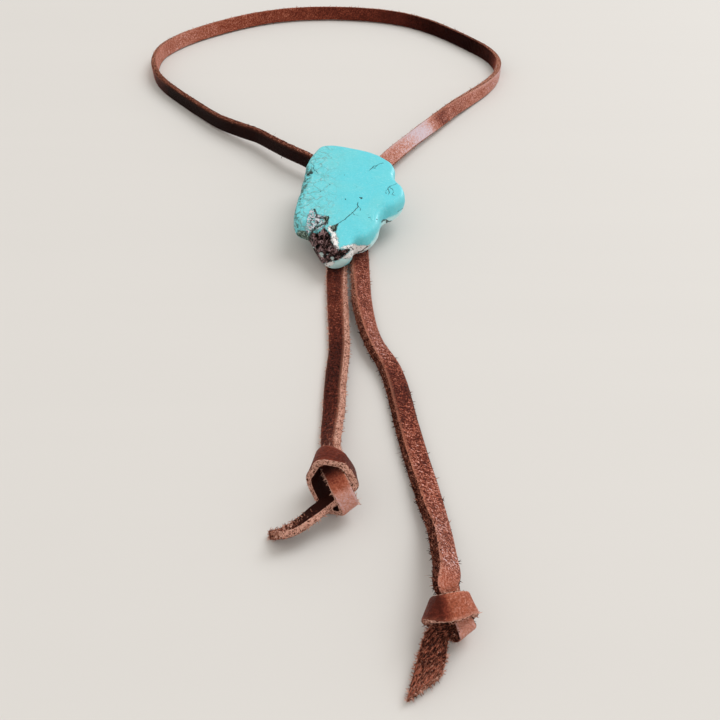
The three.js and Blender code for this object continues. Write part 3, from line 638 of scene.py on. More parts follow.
def lace_skin(settings):
    """Vertices, faces, UVs and masks of the whole lace, in millimetres."""
    line = lace_line(settings.ring_step / MM, settings.knot_ring_step / MM)
    pattern = ring_pattern()
    size, count = len(pattern), len(line["gone"])
    gone, tied = line["gone"], line["tied"]

    def spread(values):
        return np.repeat(values, size, axis=0)

    wander = WANDER * rough_map(gone * 0.06, gone * 0 + 3.1, 0, 3)
    half_width = line["width"] / 2 + wander * (1 - tied)
    half_thick = mixed(LACE_THICKNESS, TIED_THICKNESS, tied) / 2
    share_x, share_y, off_x, off_y, out_x, out_y = pattern[:, :6].T
    x = share_x * half_width[:, None] + off_x
    x = x + (share_x > 0.5) * (1 - share_y) / 2 * np.interp(gone, *zip(*SLOPED))[:, None]
    y = share_y * half_thick[:, None] + off_y
    masks = {name: np.tile(pattern[:, 6 + k], count)
             for k, name in enumerate(("grain_side", "cut_edge", "flesh_side", "rim"))}

    flat = np.column_stack([share_x * LACE_WIDTH / 2 + off_x, share_y * LACE_THICKNESS / 2 + off_y])
    round_way = length_gone(np.vstack([flat, flat[:1]]))
    along, place = spread(gone), np.tile(round_way[:-1], count)
    masks["worn"] = spread(wear_along(line))
    pebble = rough_map(along * 1.25, place * 1.25, 0, 2)
    crease = 0.25 - np.abs(rough_map(along * 1.05, place * 0.32, 9, 2))
    fray = rough_map(along * 1.35, place * 1.0, 21, 2, 0.9)
    nap = rough_map((along * 0.93 + place * 0.36) * 0.33, (place * 0.93 - along * 0.36) * 1.15,
                    33, 2, 0.7)
    at, left, right = zip(*FRAYED)
    masks["frayed"] = masks["cut_edge"] * np.where(
        np.tile(share_x, count) < 0, np.interp(along, at, left), np.interp(along, at, right))
    rugged = np.maximum(masks["frayed"], masks["cut_edge"] * KNOT_FRAY * spread(tied))
    raise_by = (masks["grain_side"] * (PEBBLES * pebble + masks["worn"] * CREASES * crease)
                + rugged * settings.raggedness / MM * fray
                + masks["flesh_side"] * settings.nap / MM * nap)
    x = x.ravel() + np.tile(out_x, count) * raise_by
    y = y.ravel() + np.tile(out_y, count) * raise_by
    shear = 0
    for way, (slant, reach), sign in ((gone, KNOTS["left"]["cut"], -1),
                                      (gone[-1] - gone, KNOTS["right"]["cut"], 1)):
        shear = shear + np.maximum(0, 1 - way / reach) * slant * sign / (LACE_WIDTH / 2)
    points = (spread(line["middle"]) + spread(line["across"]) * x[:, None]
              + spread(line["grain"]) * y[:, None]
              + spread(line["ahead"]) * (x * spread(shear))[:, None])

    i, j = np.divmod(np.arange((count - 1) * size), size)
    near, far, low, high = gone[i], gone[i + 1], round_way[j], round_way[j + 1]
    uv = np.array([[near, near, far, far], [low, high, high, low]]).T
    pared = smooth(0, PARED_FADE, along - PARED[0]) * smooth(0, PARED_FADE, PARED[1] - along)
    masks["flesh_side"] *= 1 - pared
    for name, tones in TONES_AND_PAINTED_LIGHT.items():
        masks[name] = np.interp(along, *zip(*tones))
    masks["lively"] = (np.interp(masks["tone"], *zip(*LIVELY)) * (1 - PARED_CALM * pared)
                       * (1 - TIED_CALM * spread(tied)))
    skin = {"points": points, "faces": ring_faces(count, size).tolist(), "uv": list(uv),
            "masks": masks}
    for index, facing in ((0, -1), (count - 1, 1)):
        border = np.arange(size) + index * size
        close_end(skin, border, line["ahead"][index], x[border], y[border], facing)
    skin["points"][:, 2] = np.maximum(skin["points"][:, 2], LOWEST)
    return skin, line


def close_end(skin, border, ahead, x, y, facing):
    """Closes a cut end with rings that draw in to its middle, rough as the cut is."""
    size, first = len(border), len(skin["points"])
    rim = skin["points"][border]
    middle = rim.mean(axis=0)
    rings = np.vstack([middle + (rim - middle) * share for share in CAP_SHARES])
    rings = rings + ahead * facing * (rough(rings * 1.4 + 50, 2) * CUT_ROUGHNESS)[:, None]
    skin["points"] = np.vstack([skin["points"], rings, middle])
    index = np.append(border, np.arange(first, len(skin["points"])))
    places = np.vstack([np.column_stack([END_MAP + x * share, y * share])
                        for share in (1, *CAP_SHARES, 0)])
    quads = np.roll(ring_faces(len(CAP_SHARES) + 1, size), -1, axis=1)
    last = np.arange(size) + len(CAP_SHARES) * size
    tips = np.column_stack([last, np.roll(last, -1), np.full(size, len(index) - 1)])
    for corners in (*quads[:, ::facing], *tips[:, ::facing]):
        skin["faces"].append(index[corners].tolist())
        skin["uv"].append(places[corners])
    for name, held in skin["masks"].items():
        value = {"cut_edge": 1.0, "frayed": 1.0, "edge_tone": 0.3}.get(name, 0.0)
        skin["masks"][name] = np.append(held, np.full(len(index) - size, value))


def linked(name, data):
    made = bpy.data.objects.new(name, data)
    bpy.context.scene.collection.objects.link(made)
    return made


def new_piece(name, points, faces, masks, material, slot, node, uv=None):
    """A mesh object from points in millimetres, with its masks and its map, on the frame."""
    mesh = bpy.data.meshes.new(name)
    mesh.from_pydata((points * MM).tolist(), [], faces)
    if uv is not None:
        layer = mesh.uv_layers.new(name="lace_way")
        layer.data.foreach_set("uv", np.concatenate(uv).ravel().astype(np.float32))
    for mask, values in masks.items():
        held = mesh.attributes.new(mask, "FLOAT", "POINT")
        held.data.foreach_set("value", values.astype(np.float32))
    mesh.polygons.foreach_set("use_smooth", [True] * len(mesh.polygons))
    mesh.materials.append(material)
    mesh.validate()
    piece = linked(name, mesh)
    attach(piece, BODY)
    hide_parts(node)
    return piece


# ---- materials ----

class Nodes:
    """A node tree, written node by node."""

    def __init__(self, tree):
        self.tree = tree

    def node(self, kind, inputs=None, **settings):
        made = self.tree.nodes.new(kind if "Node" in kind else "ShaderNode" + kind)
        for key, value in settings.items():
            setattr(made, key, value)
        for key, value in (inputs or {}).items():
            self.join(value, made.inputs[key])
        return made

    def join(self, value, socket):
        value = getattr(value, "socket", value)
        if isinstance(value, bpy.types.NodeSocket):
            self.tree.links.new(value, socket)
        elif socket.type == "RGBA":
            socket.default_value = (*value[:3], 1)
        else:
            socket.default_value = value

    def amount(self, out, kind, inputs=None, **settings):
        return Amount(self, self.node(kind, inputs, **settings).outputs[out])


class Amount:
    """A number in a node tree: arithmetic on it adds nodes, and | takes the greater."""

    def __init__(self, nodes, socket):
        self.nodes = nodes
        self.socket = socket

    def maths(self, operation, other):
        return self.nodes.amount(0, "Math", {0: self, 1: other}, operation=operation)

    __add__ = partialmethod(maths, "ADD")
    __sub__ = partialmethod(maths, "SUBTRACT")
    __mul__ = partialmethod(maths, "MULTIPLY")
    __truediv__ = partialmethod(maths, "DIVIDE")
    __or__ = partialmethod(maths, "MAXIMUM")


class Finish(Nodes):
    """One procedural material."""

    def __init__(self, name):
        self.material = bpy.data.materials.new(name)
        self.material.use_nodes = True
        super().__init__(self.material.node_tree)
        self.shader = self.tree.nodes["Principled BSDF"]

    def set(self, **inputs):
        for key, value in inputs.items():
            self.join(value, self.shader.inputs[key.replace("_", " ")])

    def masks(self, *names):
        return [self.amount("Fac", "Attribute", attribute_name=name) for name in names]

    def place(self, scale, turn=0, vector=None):
        """A vector stretched and turned; in the piece's own space if none is given."""
        vector = vector or self.node("TexCoord").outputs["Object"]
        return self.node("Mapping", {"Vector": vector, "Scale": tuple(1 / s for s in scale),
                                     "Rotation": (0, 0, math.radians(turn))},
                         vector_type="TEXTURE").outputs["Vector"]

    def noise(self, vector, scale, detail=3.0, roughness=0.55, distortion=0.0, out="Fac"):
        return self.amount(out, "TexNoise", {
            "Vector": vector, "Scale": scale, "Detail": detail, "Roughness": roughness,
            "Distortion": distortion})

    def shaken(self, vector, scale, amount):
        """The vector shaken by a noise."""
        noises = self.noise(vector, scale, out="Color")
        moved = self.node("VectorMath", {0: noises, 1: (amount,) * 3, 2: vector},
                          operation="MULTIPLY_ADD").outputs[0]
        return self.node("VectorMath", {0: moved, 1: (amount / 2,) * 3},
                         operation="SUBTRACT").outputs[0]

    def cells(self, vector, scale, feature="DISTANCE_TO_EDGE"):
        return self.amount("Distance", "TexVoronoi", {"Vector": vector, "Scale": scale},
                           feature=feature)

    def crystals(self, vector, scale):
        """Two numbers of each crystal's own and the distance to its middle."""
        made = self.node("TexVoronoi", {"Vector": vector, "Scale": scale})
        own = self.node("SeparateColor", {"Color": made.outputs["Color"]}).outputs
        return [Amount(self, socket) for socket in (own[0], own[1], made.outputs["Distance"])]

    def range(self, value, low, high, to_low=0.0, to_high=1.0, kind="SMOOTHSTEP"):
        return self.amount("Result", "MapRange", {
            "Value": value, "From Min": low, "From Max": high, "To Min": to_low,
            "To Max": to_high}, interpolation_type=kind)

    def mix(self, share, a, b):
        return self.node("Mix", {0: share, 6: a, 7: b}, data_type="RGBA").outputs[2]

    def blend(self, share, a, b):
        return self.amount(0, "Mix", {0: share, 2: a, 3: b}, data_type="FLOAT")

    def ramp(self, value, stops):
        """A colour read off a table of stops that runs from the first place to the last."""
        low, high = stops[0][0], stops[-1][0]
        made = self.node("ValToRGB", {"Fac": self.range(value, low, high, kind="LINEAR")})
        for place, shade in stops:
            share = (place - low) / (high - low)
            if 0 < share < 1:
                stop = made.color_ramp.elements.new(share)
            else:
                stop = made.color_ramp.elements[-1 if share else 0]
            stop.color = (*shade, 1)
        return made.outputs["Color"]

    def bump(self, height, distance, strength=1.0):
        self.set(Normal=self.node("Bump", {"Height": height, "Distance": distance * MM,
                                           "Strength": strength}).outputs["Normal"])


IN_MILLIMETRES = (1 / MM,) * 3


def cut_colours(f, settings, value):
    return f.ramp(value, [(-1.2, settings.grain_in_shade), (-0.4, settings.cut_dark_and_shaded),
                          (0.25, settings.cut_mid), (1.1, settings.cut_light)])


def lace_leather(settings):
    """Pebbled grain side, raw cut edges and napped flesh side, told apart by the masks."""
    f = Finish("lace_leather")
    way = f.node("UVMap", uv_map="lace_way").outputs["UV"]
    cut, flesh, rim, worn, lively, tone, edge_tone, flesh_tone = f.masks(
        "cut_edge", "flesh_side", "rim", "worn", "lively", "tone", "edge_tone", "flesh_tone")

    def streaked(scale, turn, *rest):
        return f.noise(f.place((*scale, 1), turn, way), 1.0, *rest)

    shaken = f.shaken(way, 1.4, 0.45)
    pits = f.range(f.cells(shaken, 2.3), 0.02, 0.16)
    mottle = f.noise(way, 1.25, 4, 0.62, 0.4)
    cloud = streaked((0.12, 0.25), 0, 3, 0.6)
    cross = streaked((2.1, 0.55), 26, 3, 0.6, 1.1)
    along = streaked((0.7, 2.0), -22, 3, 0.6, 1.0)
    painted_glints = f.noise(way, 1.9, 3, 0.66, 0.7)
    pebbled = f.noise(shaken, 1.9, 2, 0.6, 0.5)
    # The grain's own mottling, with painted light in it: painted shade in the pits between the
    # pebbles and in the lows of the crossing creases, painted glints on pebble tops and light
    # specks, and a painted sheen on the creases' ridges.
    bright = pits * 0.22 - 0.16
    for noises, *ends in ((pebbled, 0.39, 0.62, -0.46, 0.28), (painted_glints, 0.54, 0.66, 0, 0.14),
                          (cross, 0.53, 0.62, 0, 0.32), (cross, 0.46, 0.38, 0, -0.36),
                          (along, 0.42, 0.60, -0.10, 0.10), (cloud, 0.34, 0.66, -0.18, 0.12)):
        bright = bright + f.range(noises, *ends)
    # worn * 0.10 lightens the grain where it is handled: a little painted sheen.
    value = bright * lively * (rim * -0.7 + 1) + tone + rim * 0.16 + worn * 0.10
    # The tone mask carries painted light and shade into the grain's colour; the stops from the lit
    # one up paint lit faces and a painted sheen.
    shade = f.ramp(value, [(-1.0, settings.grain_in_shade), (0.0, settings.grain_mid),
                           (0.33, settings.grain_red), (0.66, settings.grain_lit),
                           (1.0, settings.grain_brightly_lit), (1.4, settings.grain_painted_sheen)])
    shade = f.mix(rim * lively * 0.5, shade, (0.56, 0.25, 0.165))

    fine = f.noise(way, 2.6, 4, 0.7, 0.6)
    strands = streaked((1.1, 3.2), 35, 4, 0.65, 1.0)
    crumbs = f.noise(way, 1.6, 4, 0.72, 0.4)
    # The cut edge's fibres and dark crumbs, with the edge tone's painted light and painted shade.
    raw = ((fine * 0.55 + strands * 0.45 - 0.49) * 6.5 + edge_tone
           + f.range(crumbs, 0.485, 0.41, 0, -1.6))
    streak = streaked((1.0, 3.6), 21, 4, 0.62, 0.6)
    # The nap's streaks, darkened by the flesh tone's painted shade in the knots' hollows.
    nap = f.mix(f.range(flesh_tone * 0.14 + streak, 0.42, 0.58), settings.flesh_dark,
                settings.flesh_light)
    nap = f.mix(f.range(flesh_tone * 0.14 + fine, 0.52, 0.70, 0, 0.55), nap, settings.cut_light)

    edge_line = f.range(mottle * 0.5 + cut - 0.25, 0.30, 0.52)
    flesh_line = f.range(streak * 0.4 + flesh - 0.2, 0.35, 0.60)
    shade = f.mix(edge_line, shade, cut_colours(f, settings, raw))
    polished = f.blend(worn * 0.5, f.blend(f.range(mottle, 0.3, 0.7), 0.36, 0.54), 0.34)
    f.set(Base_Color=f.mix(flesh_line, shade, nap),
          Roughness=f.blend(edge_line | flesh_line, polished, 0.92),
          Specular_IOR_Level=0.07, Specular_Tint=(1.0, 0.60, 0.50))

    creased = f.range(cross, 0.54, 0.40) * (worn + 0.55)
    height = pits * 0.7 + mottle * 0.6 + pebbled * 1.6 - creased * 1.5
    height = f.blend(cut, height, (fine + crumbs) * 2.2)
    f.bump(f.blend(flesh, height, (streak + fine) * 2.2), 0.15)
    return f.material


def fibre_leather(settings):
    """Loose fibres: orange tan, some nearly white, some dark with dye, and darker in the painted
    shade of the edges they stand on.
    """
    f = Finish("lace_fibre")
    edge_tone, flesh = f.masks("edge_tone", "flesh_side")
    dye = f.noise(f.place(IN_MILLIMETRES), 1.1, 2, 0.6) - 0.50
    # The fibres take the painted light and painted shade of the edges they stand on.
    f.set(Base_Color=cut_colours(f, settings, dye * 5 + edge_tone - flesh * 0.55), Roughness=0.9,
          Specular_IOR_Level=0.2)
    return f.material


# ---- fibres ----

FIBRE_SIZES = ("density", "length", "radius")
# Bend, segments and seed of the tufts and of the hairs.
FIBRE_KINDS = {"Tuft": (0.35, 3, 0), "Hair": (0.75, 5, 40)}
FIBRE_LEAN = 0.75
FIBRE_SIDES = 3
LOOP_FUZZ = 0.16  # how thickly the fibres stand on the neck loop, beside 1 on the tails
END_FUZZ = 0.3  # and how much more thickly at the knots
FLESH_FUZZ = 0.35  # the flesh side's share
TAILS_FROM = (-30, 20)  # where the tails' fibres thin out towards the loop
KNOTS_FROM = (-130, -100)


def fibre_tree(material):
    """Geometry nodes that stand tapered tufts and hairs on the fuzzy parts of a skin."""
    tree = bpy.data.node_groups.new("lace_fibres", "GeometryNodeTree")
    g = Nodes(tree)
    sockets = [("Skin", "Geometry"), ("Seed", "Int"), ("Fibres", "Geometry")]
    sockets[1:1] = [(kind + " " + size, "Float") for kind in FIBRE_KINDS for size in FIBRE_SIZES]
    for label, kind in sockets:
        tree.interface.new_socket(label, in_out="OUTPUT" if label == "Fibres" else "INPUT",
                                  socket_type="NodeSocket" + kind)
    given = g.node("NodeGroupInput").outputs
    joined = g.node("GeometryNodeJoinGeometry")
    for kind, (bend, segments, seed) in FIBRE_KINDS.items():
        density, height, radius = (Amount(g, given[kind + " " + size]) for size in FIBRE_SIZES)
        fuzz = g.amount(0, "GeometryNodeInputNamedAttribute", {"Name": "fuzz"},
                        data_type="FLOAT")
        spots = g.node("GeometryNodeDistributePointsOnFaces",
                       {"Mesh": given["Skin"], "Density": fuzz * density,
                        "Seed": Amount(g, given["Seed"]) + float(seed)},
                       distribute_method="RANDOM").outputs
        line = g.amount(0, "GeometryNodeCurveQuadraticBezier", {
            "Resolution": segments, "Start": (0, 0, -0.08), "Middle": (0.06, 0, 0.55),
            "End": (bend, 0, 0.9)})
        share = g.amount("Factor", "GeometryNodeSplineParameter")
        taper = g.amount(0, "MapRange", {"Value": share, "To Min": 1.0, "To Max": 0.12})
        round_it = g.amount(0, "GeometryNodeCurvePrimitiveCircle",
                            {"Resolution": FIBRE_SIDES, "Radius": 1.0})
        fibre = g.amount(0, "GeometryNodeCurveToMesh", {
            "Curve": line, "Profile Curve": round_it, "Scale": radius / height * taper,
            "Fill Caps": True})
        turn = g.amount(0, "FunctionNodeRandomValue", {
            0: (-FIBRE_LEAN, -FIBRE_LEAN, 0), 1: (FIBRE_LEAN, FIBRE_LEAN, math.tau),
            "Seed": seed + 3}, data_type="FLOAT_VECTOR")
        turned = g.amount(0, "FunctionNodeEulerToRotation", {"Euler": turn})
        lean = g.amount(0, "FunctionNodeRotateRotation", {
            "Rotation": spots["Rotation"], "Rotate By": turned}, rotation_space="LOCAL")
        size = g.amount(1, "FunctionNodeRandomValue", {2: 0.35, 3: 1.3, "Seed": seed + 5},
                        data_type="FLOAT")
        stood = g.amount(0, "GeometryNodeInstanceOnPoints", {
            "Points": spots["Points"], "Instance": fibre, "Rotation": lean,
            "Scale": size * height})
        g.join(stood, joined.inputs[0])
    real = g.amount(0, "GeometryNodeRealizeInstances", {"Geometry": joined.outputs[0]})
    g.node("NodeGroupOutput", {0: g.amount(0, "GeometryNodeSetMaterial", {
        "Geometry": real, "Material": material})})
    return tree


def plain_copy(piece, name):
    """The evaluated piece as a plain mesh object, with no modifier on it."""
    graph = bpy.context.evaluated_depsgraph_get()
    mesh = bpy.data.meshes.new_from_object(piece.evaluated_get(graph), depsgraph=graph)
    mesh.name = name
    bpy.data.objects.remove(piece)
    return linked(name, mesh)


# ---- the slab ----

def closed_curve(corners, count, fine=40):
    """A closed centripetal curve through the corners, evenly stepped."""
    corners = np.array(corners, float)
    points = []
    t = np.linspace(0, 1, fine, endpoint=False)[:, None]
    for i in range(len(corners)):
        p0, p1, p2, p3 = (corners[(i + k) % len(corners)] for k in (-1, 0, 1, 2))
        d0, d1, d2 = (np.linalg.norm(b - a) ** 0.5 for a, b in ((p0, p1), (p1, p2), (p2, p3)))
        m1 = ((p1 - p0) / d0 - (p2 - p0) / (d0 + d1) + (p2 - p1) / d1) * d1
        m2 = ((p2 - p1) / d1 - (p3 - p1) / (d1 + d2) + (p3 - p2) / d2) * d1
        points.append((2 * t ** 3 - 3 * t ** 2 + 1) * p1 + (t ** 3 - 2 * t ** 2 + t) * m1
                      + (3 * t ** 2 - 2 * t ** 3) * p2 + (t ** 3 - t ** 2) * m2)
    points = np.vstack(points + [points[0][:1]])
    gone = length_gone(points)
    at = np.linspace(0, gone[-1], count, endpoint=False)
    return np.column_stack([np.interp(at, gone, points[:, k]) for k in (0, 1)])


def to_segments(points, line):
    """Each point's distance to a line of straight stretches."""
    line = np.array(line, float)
    nearest = np.full(len(points), 1e9)
    for a, b in zip(line[:-1], line[1:]):
        d = b - a
        t = np.clip(((points - a) @ d) / max(1e-9, d @ d), 0, 1)
        nearest = np.minimum(nearest, np.linalg.norm(points - a - t[:, None] * d, axis=1))
    return nearest


def inside_depth(points, *shapes):
    """How deep each point lies inside the nearest of the shapes; negative outside."""
    depths = []
    x, y = points.T
    for shape in shapes:
        inside = np.zeros(len(points), bool)
        for (ax, ay), (bx, by) in zip(shape, shape[1:] + shape[:1]):
            at = ax + (y - ay) * (bx - ax) / (1e-9 if by == ay else by - ay)
            inside ^= ((ay > y) != (by > y)) & (x < at)
        depths.append(np.where(inside, 1, -1) * to_segments(points, shape + shape[:1]))
    return np.max(depths, axis=0)


def in_circles(points, circles):
    """Each point's distance from the nearest circle's middle, in its radii."""
    return np.min([np.hypot(points[:, 0] - x, points[:, 1] - y) / radius
                   for x, y, radius in circles], axis=0)


def rough_pair(points, scale, first, second):
    return np.column_stack([rough(points * scale + first, 2), rough(points * scale + second, 2)])


def slab_skin(settings):
    """Points, faces and the markings' masks of the slab."""
    outline = closed_curve(SLAB_OUTLINE, SLAB_STEPS)
    before, after = (np.roll(outline, way * SIDE_REACH, axis=0) for way in (1, -1))
    inward = unit(np.column_stack([before[:, 1] - after[:, 1], after[:, 0] - before[:, 0]]))
    rim_at = np.linspace(0, len(RIM) - 1, RIM_RINGS)
    inset, height = (np.interp(rim_at, range(len(RIM)), column) for column in zip(*RIM))
    for _ in range(3):
        for values in (inset, height):
            values[1:-1] = np.convolve(values, (0.25, 0.5, 0.25), "valid")
    middle = np.array(CROWN_MIDDLE)

    def ring(flat, z):
        return np.column_stack([flat, np.full(SLAB_STEPS, z)])

    rings = [ring(mixed(middle, outline + inward * inset[0], share), 0)
             for share in np.linspace(0.05, 0.97, BASE_RINGS)]
    rings += [ring(outline + inward * i, z) for i, z in zip(inset, height)]
    rings += [ring(mixed(middle, outline + inward * inset[-1], share), UNSET)
              for share in np.linspace(1, 0, FACE_RINGS)[1:-1]]
    points = np.vstack(rings + [[[*middle, 0]], [[*middle, UNSET]]])
    top = np.flatnonzero(points[:, 2] < 0)
    flat = points[:, :2].copy()
    to_rim = to_segments(flat[top], np.vstack([outline, outline[:1]])[::2])
    points[top, 2] = np.interp(to_rim, *zip(*FACE))
    crown = np.linalg.norm((flat[top] - middle) / CROWN_REACH, axis=1)
    points[top, 2] += CROWN * (1 - smooth(0, 1, crown))

    lumps = rough(points * 0.16 + 5, 3)
    wall = smooth(0.3, 2.0, points[:, 2]) * (1 - smooth(7.2, 8.2, points[:, 2]))
    rim = slice(BASE_RINGS * SLAB_STEPS, (BASE_RINGS + RIM_RINGS) * SLAB_STEPS)
    points[rim, :2] -= np.tile(inward, (RIM_RINGS, 1)) * (WALL_LUMPS * lumps * wall)[rim, None]
    points[:, 2] += FACE_LUMPS * lumps * smooth(6.5, 8.3, points[:, 2])

    share = np.clip(points[:, 2] / SLAB_THICKNESS, 0, 1) ** 1.5
    flat = points[:, :2]
    depth = inside_depth(flat + 0.5 * rough_pair(points, 0.9, 0, 40), HOLLOW)
    broken = rough(points * 0.55 + 80, 4, 0.6)
    crags = rough(points * 1.7 + 120, 2, 0.6)
    sunk = smooth(-0.25, 1.0, depth) * (settings.hollow_depth / MM * 0.62 + 1.2 * broken
                                        + 0.7 * crags + 0.28 * np.clip(depth, 0, 5))
    for amount, shape in CHIPS:
        sunk += amount * smooth(-0.3, 0.6, inside_depth(flat, shape)) * (1 + crags)
    points[:, 2] -= np.maximum(sunk, -0.15) * share

    seen = points[:, :2] - np.column_stack([share * 0, SLANT * (SLANT_FROM - points[:, 2])])
    seen = seen + RAGGED_MARKS * rough_pair(points, 1.3, 3, 63)
    masks = {name: inside_depth(seen, *shapes) for name, shapes in MARKINGS.items()}
    masks["glint"] = in_circles(seen, GLINTS)
    masks["crack"] = np.minimum(FAR, np.min([to_segments(seen, line) / width
                                             for width, line in CRACKS], axis=0))
    masks["spot"] = np.minimum(FAR, in_circles(seen, SPOTS))
    groove = 2 - smooth(0.2, 1.2, masks["crack"]) - smooth(0.4, 1.3, masks["spot"])
    points[top, 2] -= GROOVE_DEPTH * groove[top]

    faces = ring_faces(len(rings), SLAB_STEPS).tolist()
    low, high = len(points) - 2, len(points) - 1
    for j in range(SLAB_STEPS):
        k = (j + 1) % SLAB_STEPS
        last = low - SLAB_STEPS
        faces += [[low, k, j], [high, last + j, last + k]]
    # Tilted and set over the laces, in the object's frame.
    x, y, z = points.T
    points = np.column_stack([x, y * math.cos(TILT) - z * math.sin(TILT),
                              y * math.sin(TILT) + z * math.cos(TILT)])
    return points + np.array([*SLAB_AT, SLAB_LIFT]) - ORIGIN, faces, masks


def turquoise_stone(settings):
    """Polished turquoise with brown rock, chalky patches, cracks and spots."""
    f = Finish("turquoise")
    where = f.place(IN_MILLIMETRES)
    rock, chalk, silver, wall, olive, crack, spot, pale, chip = f.masks(
        "rock", "chalk", "silver", "wall", "olive", "crack", "spot", "pale", "glint")
    grain = f.noise(where, 1.6, 4, 0.65)
    ragged = f.noise(where, 2.6, 3, 0.7)
    coarse = f.noise(where, 0.8, 3, 0.65, 0.6)
    facets = f.noise(where, 1.7, 4, 0.74)
    cloud = f.noise(where, 0.085, 3, 0.55, 0.4)
    shaken = f.shaken(where, 0.35, 3.2)
    leftness = f.range(f.node("SeparateXYZ", {"Vector": where}).outputs[0], 12.0, -3.0)
    webbed = f.range(f.cells(shaken, 0.24), 0.075, 0) * f.range(coarse, 0.40, 0.58, 0.15, 1)
    netted = f.range(f.cells(shaken, 0.62), 0.10, 0) * f.range(coarse, 0.50, 0.64)
    webbed = (webbed | netted * 0.45) * (leftness * 0.85 + 0.04)
    stained = f.range(f.noise(where, 0.42, 4, 0.7, 0.8), 0.50, 0.64) * leftness
    # Painted light: the pale mask lightens the tip and the lower right rim.
    lip = f.range(coarse * 1.2 + pale - 0.6, -0.4, 0.9)
    blotch = f.range(wall, -0.4, 0.9) * f.range(coarse, 0.45, 0.56)
    dark = f.mix(f.range(grain, 0.42, 0.60), (0.030, 0.060, 0.050), (0.11, 0.26, 0.24))
    shade = settings.turquoise
    for share, over in (
            (f.range(cloud, 0.38, 0.66, 0, 0.35), settings.green),
            (leftness * 0.40, settings.green),
            (f.range(grain, 0.52, 0.70, 0, 0.20), (0.62, 0.86, 0.90)),
            (f.range(grain, 0.46, 0.30, 0, 0.24), (0.10, 0.46, 0.54)),
            (stained * 0.55, (0.12, 0.38, 0.38)),
            (f.range(coarse, 0.48, 0.70) * leftness * 0.38, (0.55, 0.80, 0.80)),
            (webbed * 0.78, (0.13, 0.18, 0.16)),
            (lip * 0.75, (0.74, 0.96, 0.96)),
            (f.range(f.cells(where, 0.55, "F1"), 0.105, 0.055, 0, 0.35), (0.09, 0.30, 0.34)),
            (blotch * 0.85, dark)):
        shade = f.mix(share, shade, over)

    # Where each patch shows, its border ragged.
    chalky = f.range(ragged * 3.4 + chalk - 1.4, -0.12, 0.2)
    silvery = f.range(ragged * 2.4 + silver - 1.2, -0.15, 0.2)
    greenish = f.range(ragged * 2.0 + olive - 0.9, -0.15, 0.25)
    rocky = f.range(ragged * 3.2 + rock - 1.55, -0.12, 0.14)
    shard, odd, _ = f.crystals(shaken, 1.7)
    flaky = f.mix(f.range(ragged * 1.6 + shard, 0.95, 1.25), (0.15, 0.13, 0.16),
                  (0.88, 0.88, 0.95))
    flaky = f.mix(f.range(odd, 0.64, 0.70, 0, 0.9), flaky, settings.green)
    greens = f.ramp(facets, [(0.40, (0.006, 0.007, 0.005)), (0.48, (0.05, 0.07, 0.045)),
                             (0.54, (0.20, 0.28, 0.20)), (0.62, (0.50, 0.66, 0.58))])
    crystal, _, from_middle = f.crystals(where, 0.85)
    brown = f.ramp((coarse - 0.52) * 1.3 + crystal * 0.36 + facets - 0.18,
                   [(0.33, (0.006, 0.003, 0.003)), (0.46, settings.rock),
                    (0.58, settings.rock_light), (0.70, (0.50, 0.33, 0.34))])
    brown = f.mix(f.range(ragged * 1.6 + chip, 1.95, 1.65), brown, (0.62, 0.76, 0.74))
    vein = f.range(crack, 1.15, 0.45) * f.range(grain, 0.30, 0.46, 0.45, 1)
    marked = vein | f.range(ragged * 0.8 + spot - 0.4, 1.2, 0.7)
    for share, over in ((silvery * 0.92, flaky), (chalky, settings.chalk),
                        (f.range(coarse, 0.57, 0.62) * chalky * 0.8, (0.10, 0.08, 0.07)),
                        (greenish * 0.95, greens), (rocky, brown), (marked * 0.9, settings.vein)):
        shade = f.mix(share, shade, over)
    polish = f.range(f.noise(where, 0.4, 4, 0.6), 0.3, 0.7, 0.42, 0.52)
    f.set(Base_Color=shade, Specular_IOR_Level=0.26, Coat_Weight=0.06, Coat_Roughness=0.12,
          Roughness=f.blend(rocky | chalky | silvery | greenish, polish,
                            f.range(from_middle, 0.1, 0.5, 0.30, 0.75)))
    height = (rocky * (facets * 9 - from_middle * 1.5)
              + (silvery | greenish) * (shard * 3 + facets * 5) + chalky * (facets * 4)
              - marked * 1.3 + grain * 0.10 - webbed * 0.4)
    f.bump(height, 0.12, 0.9)
    return f.material


# ---- the keeper ----

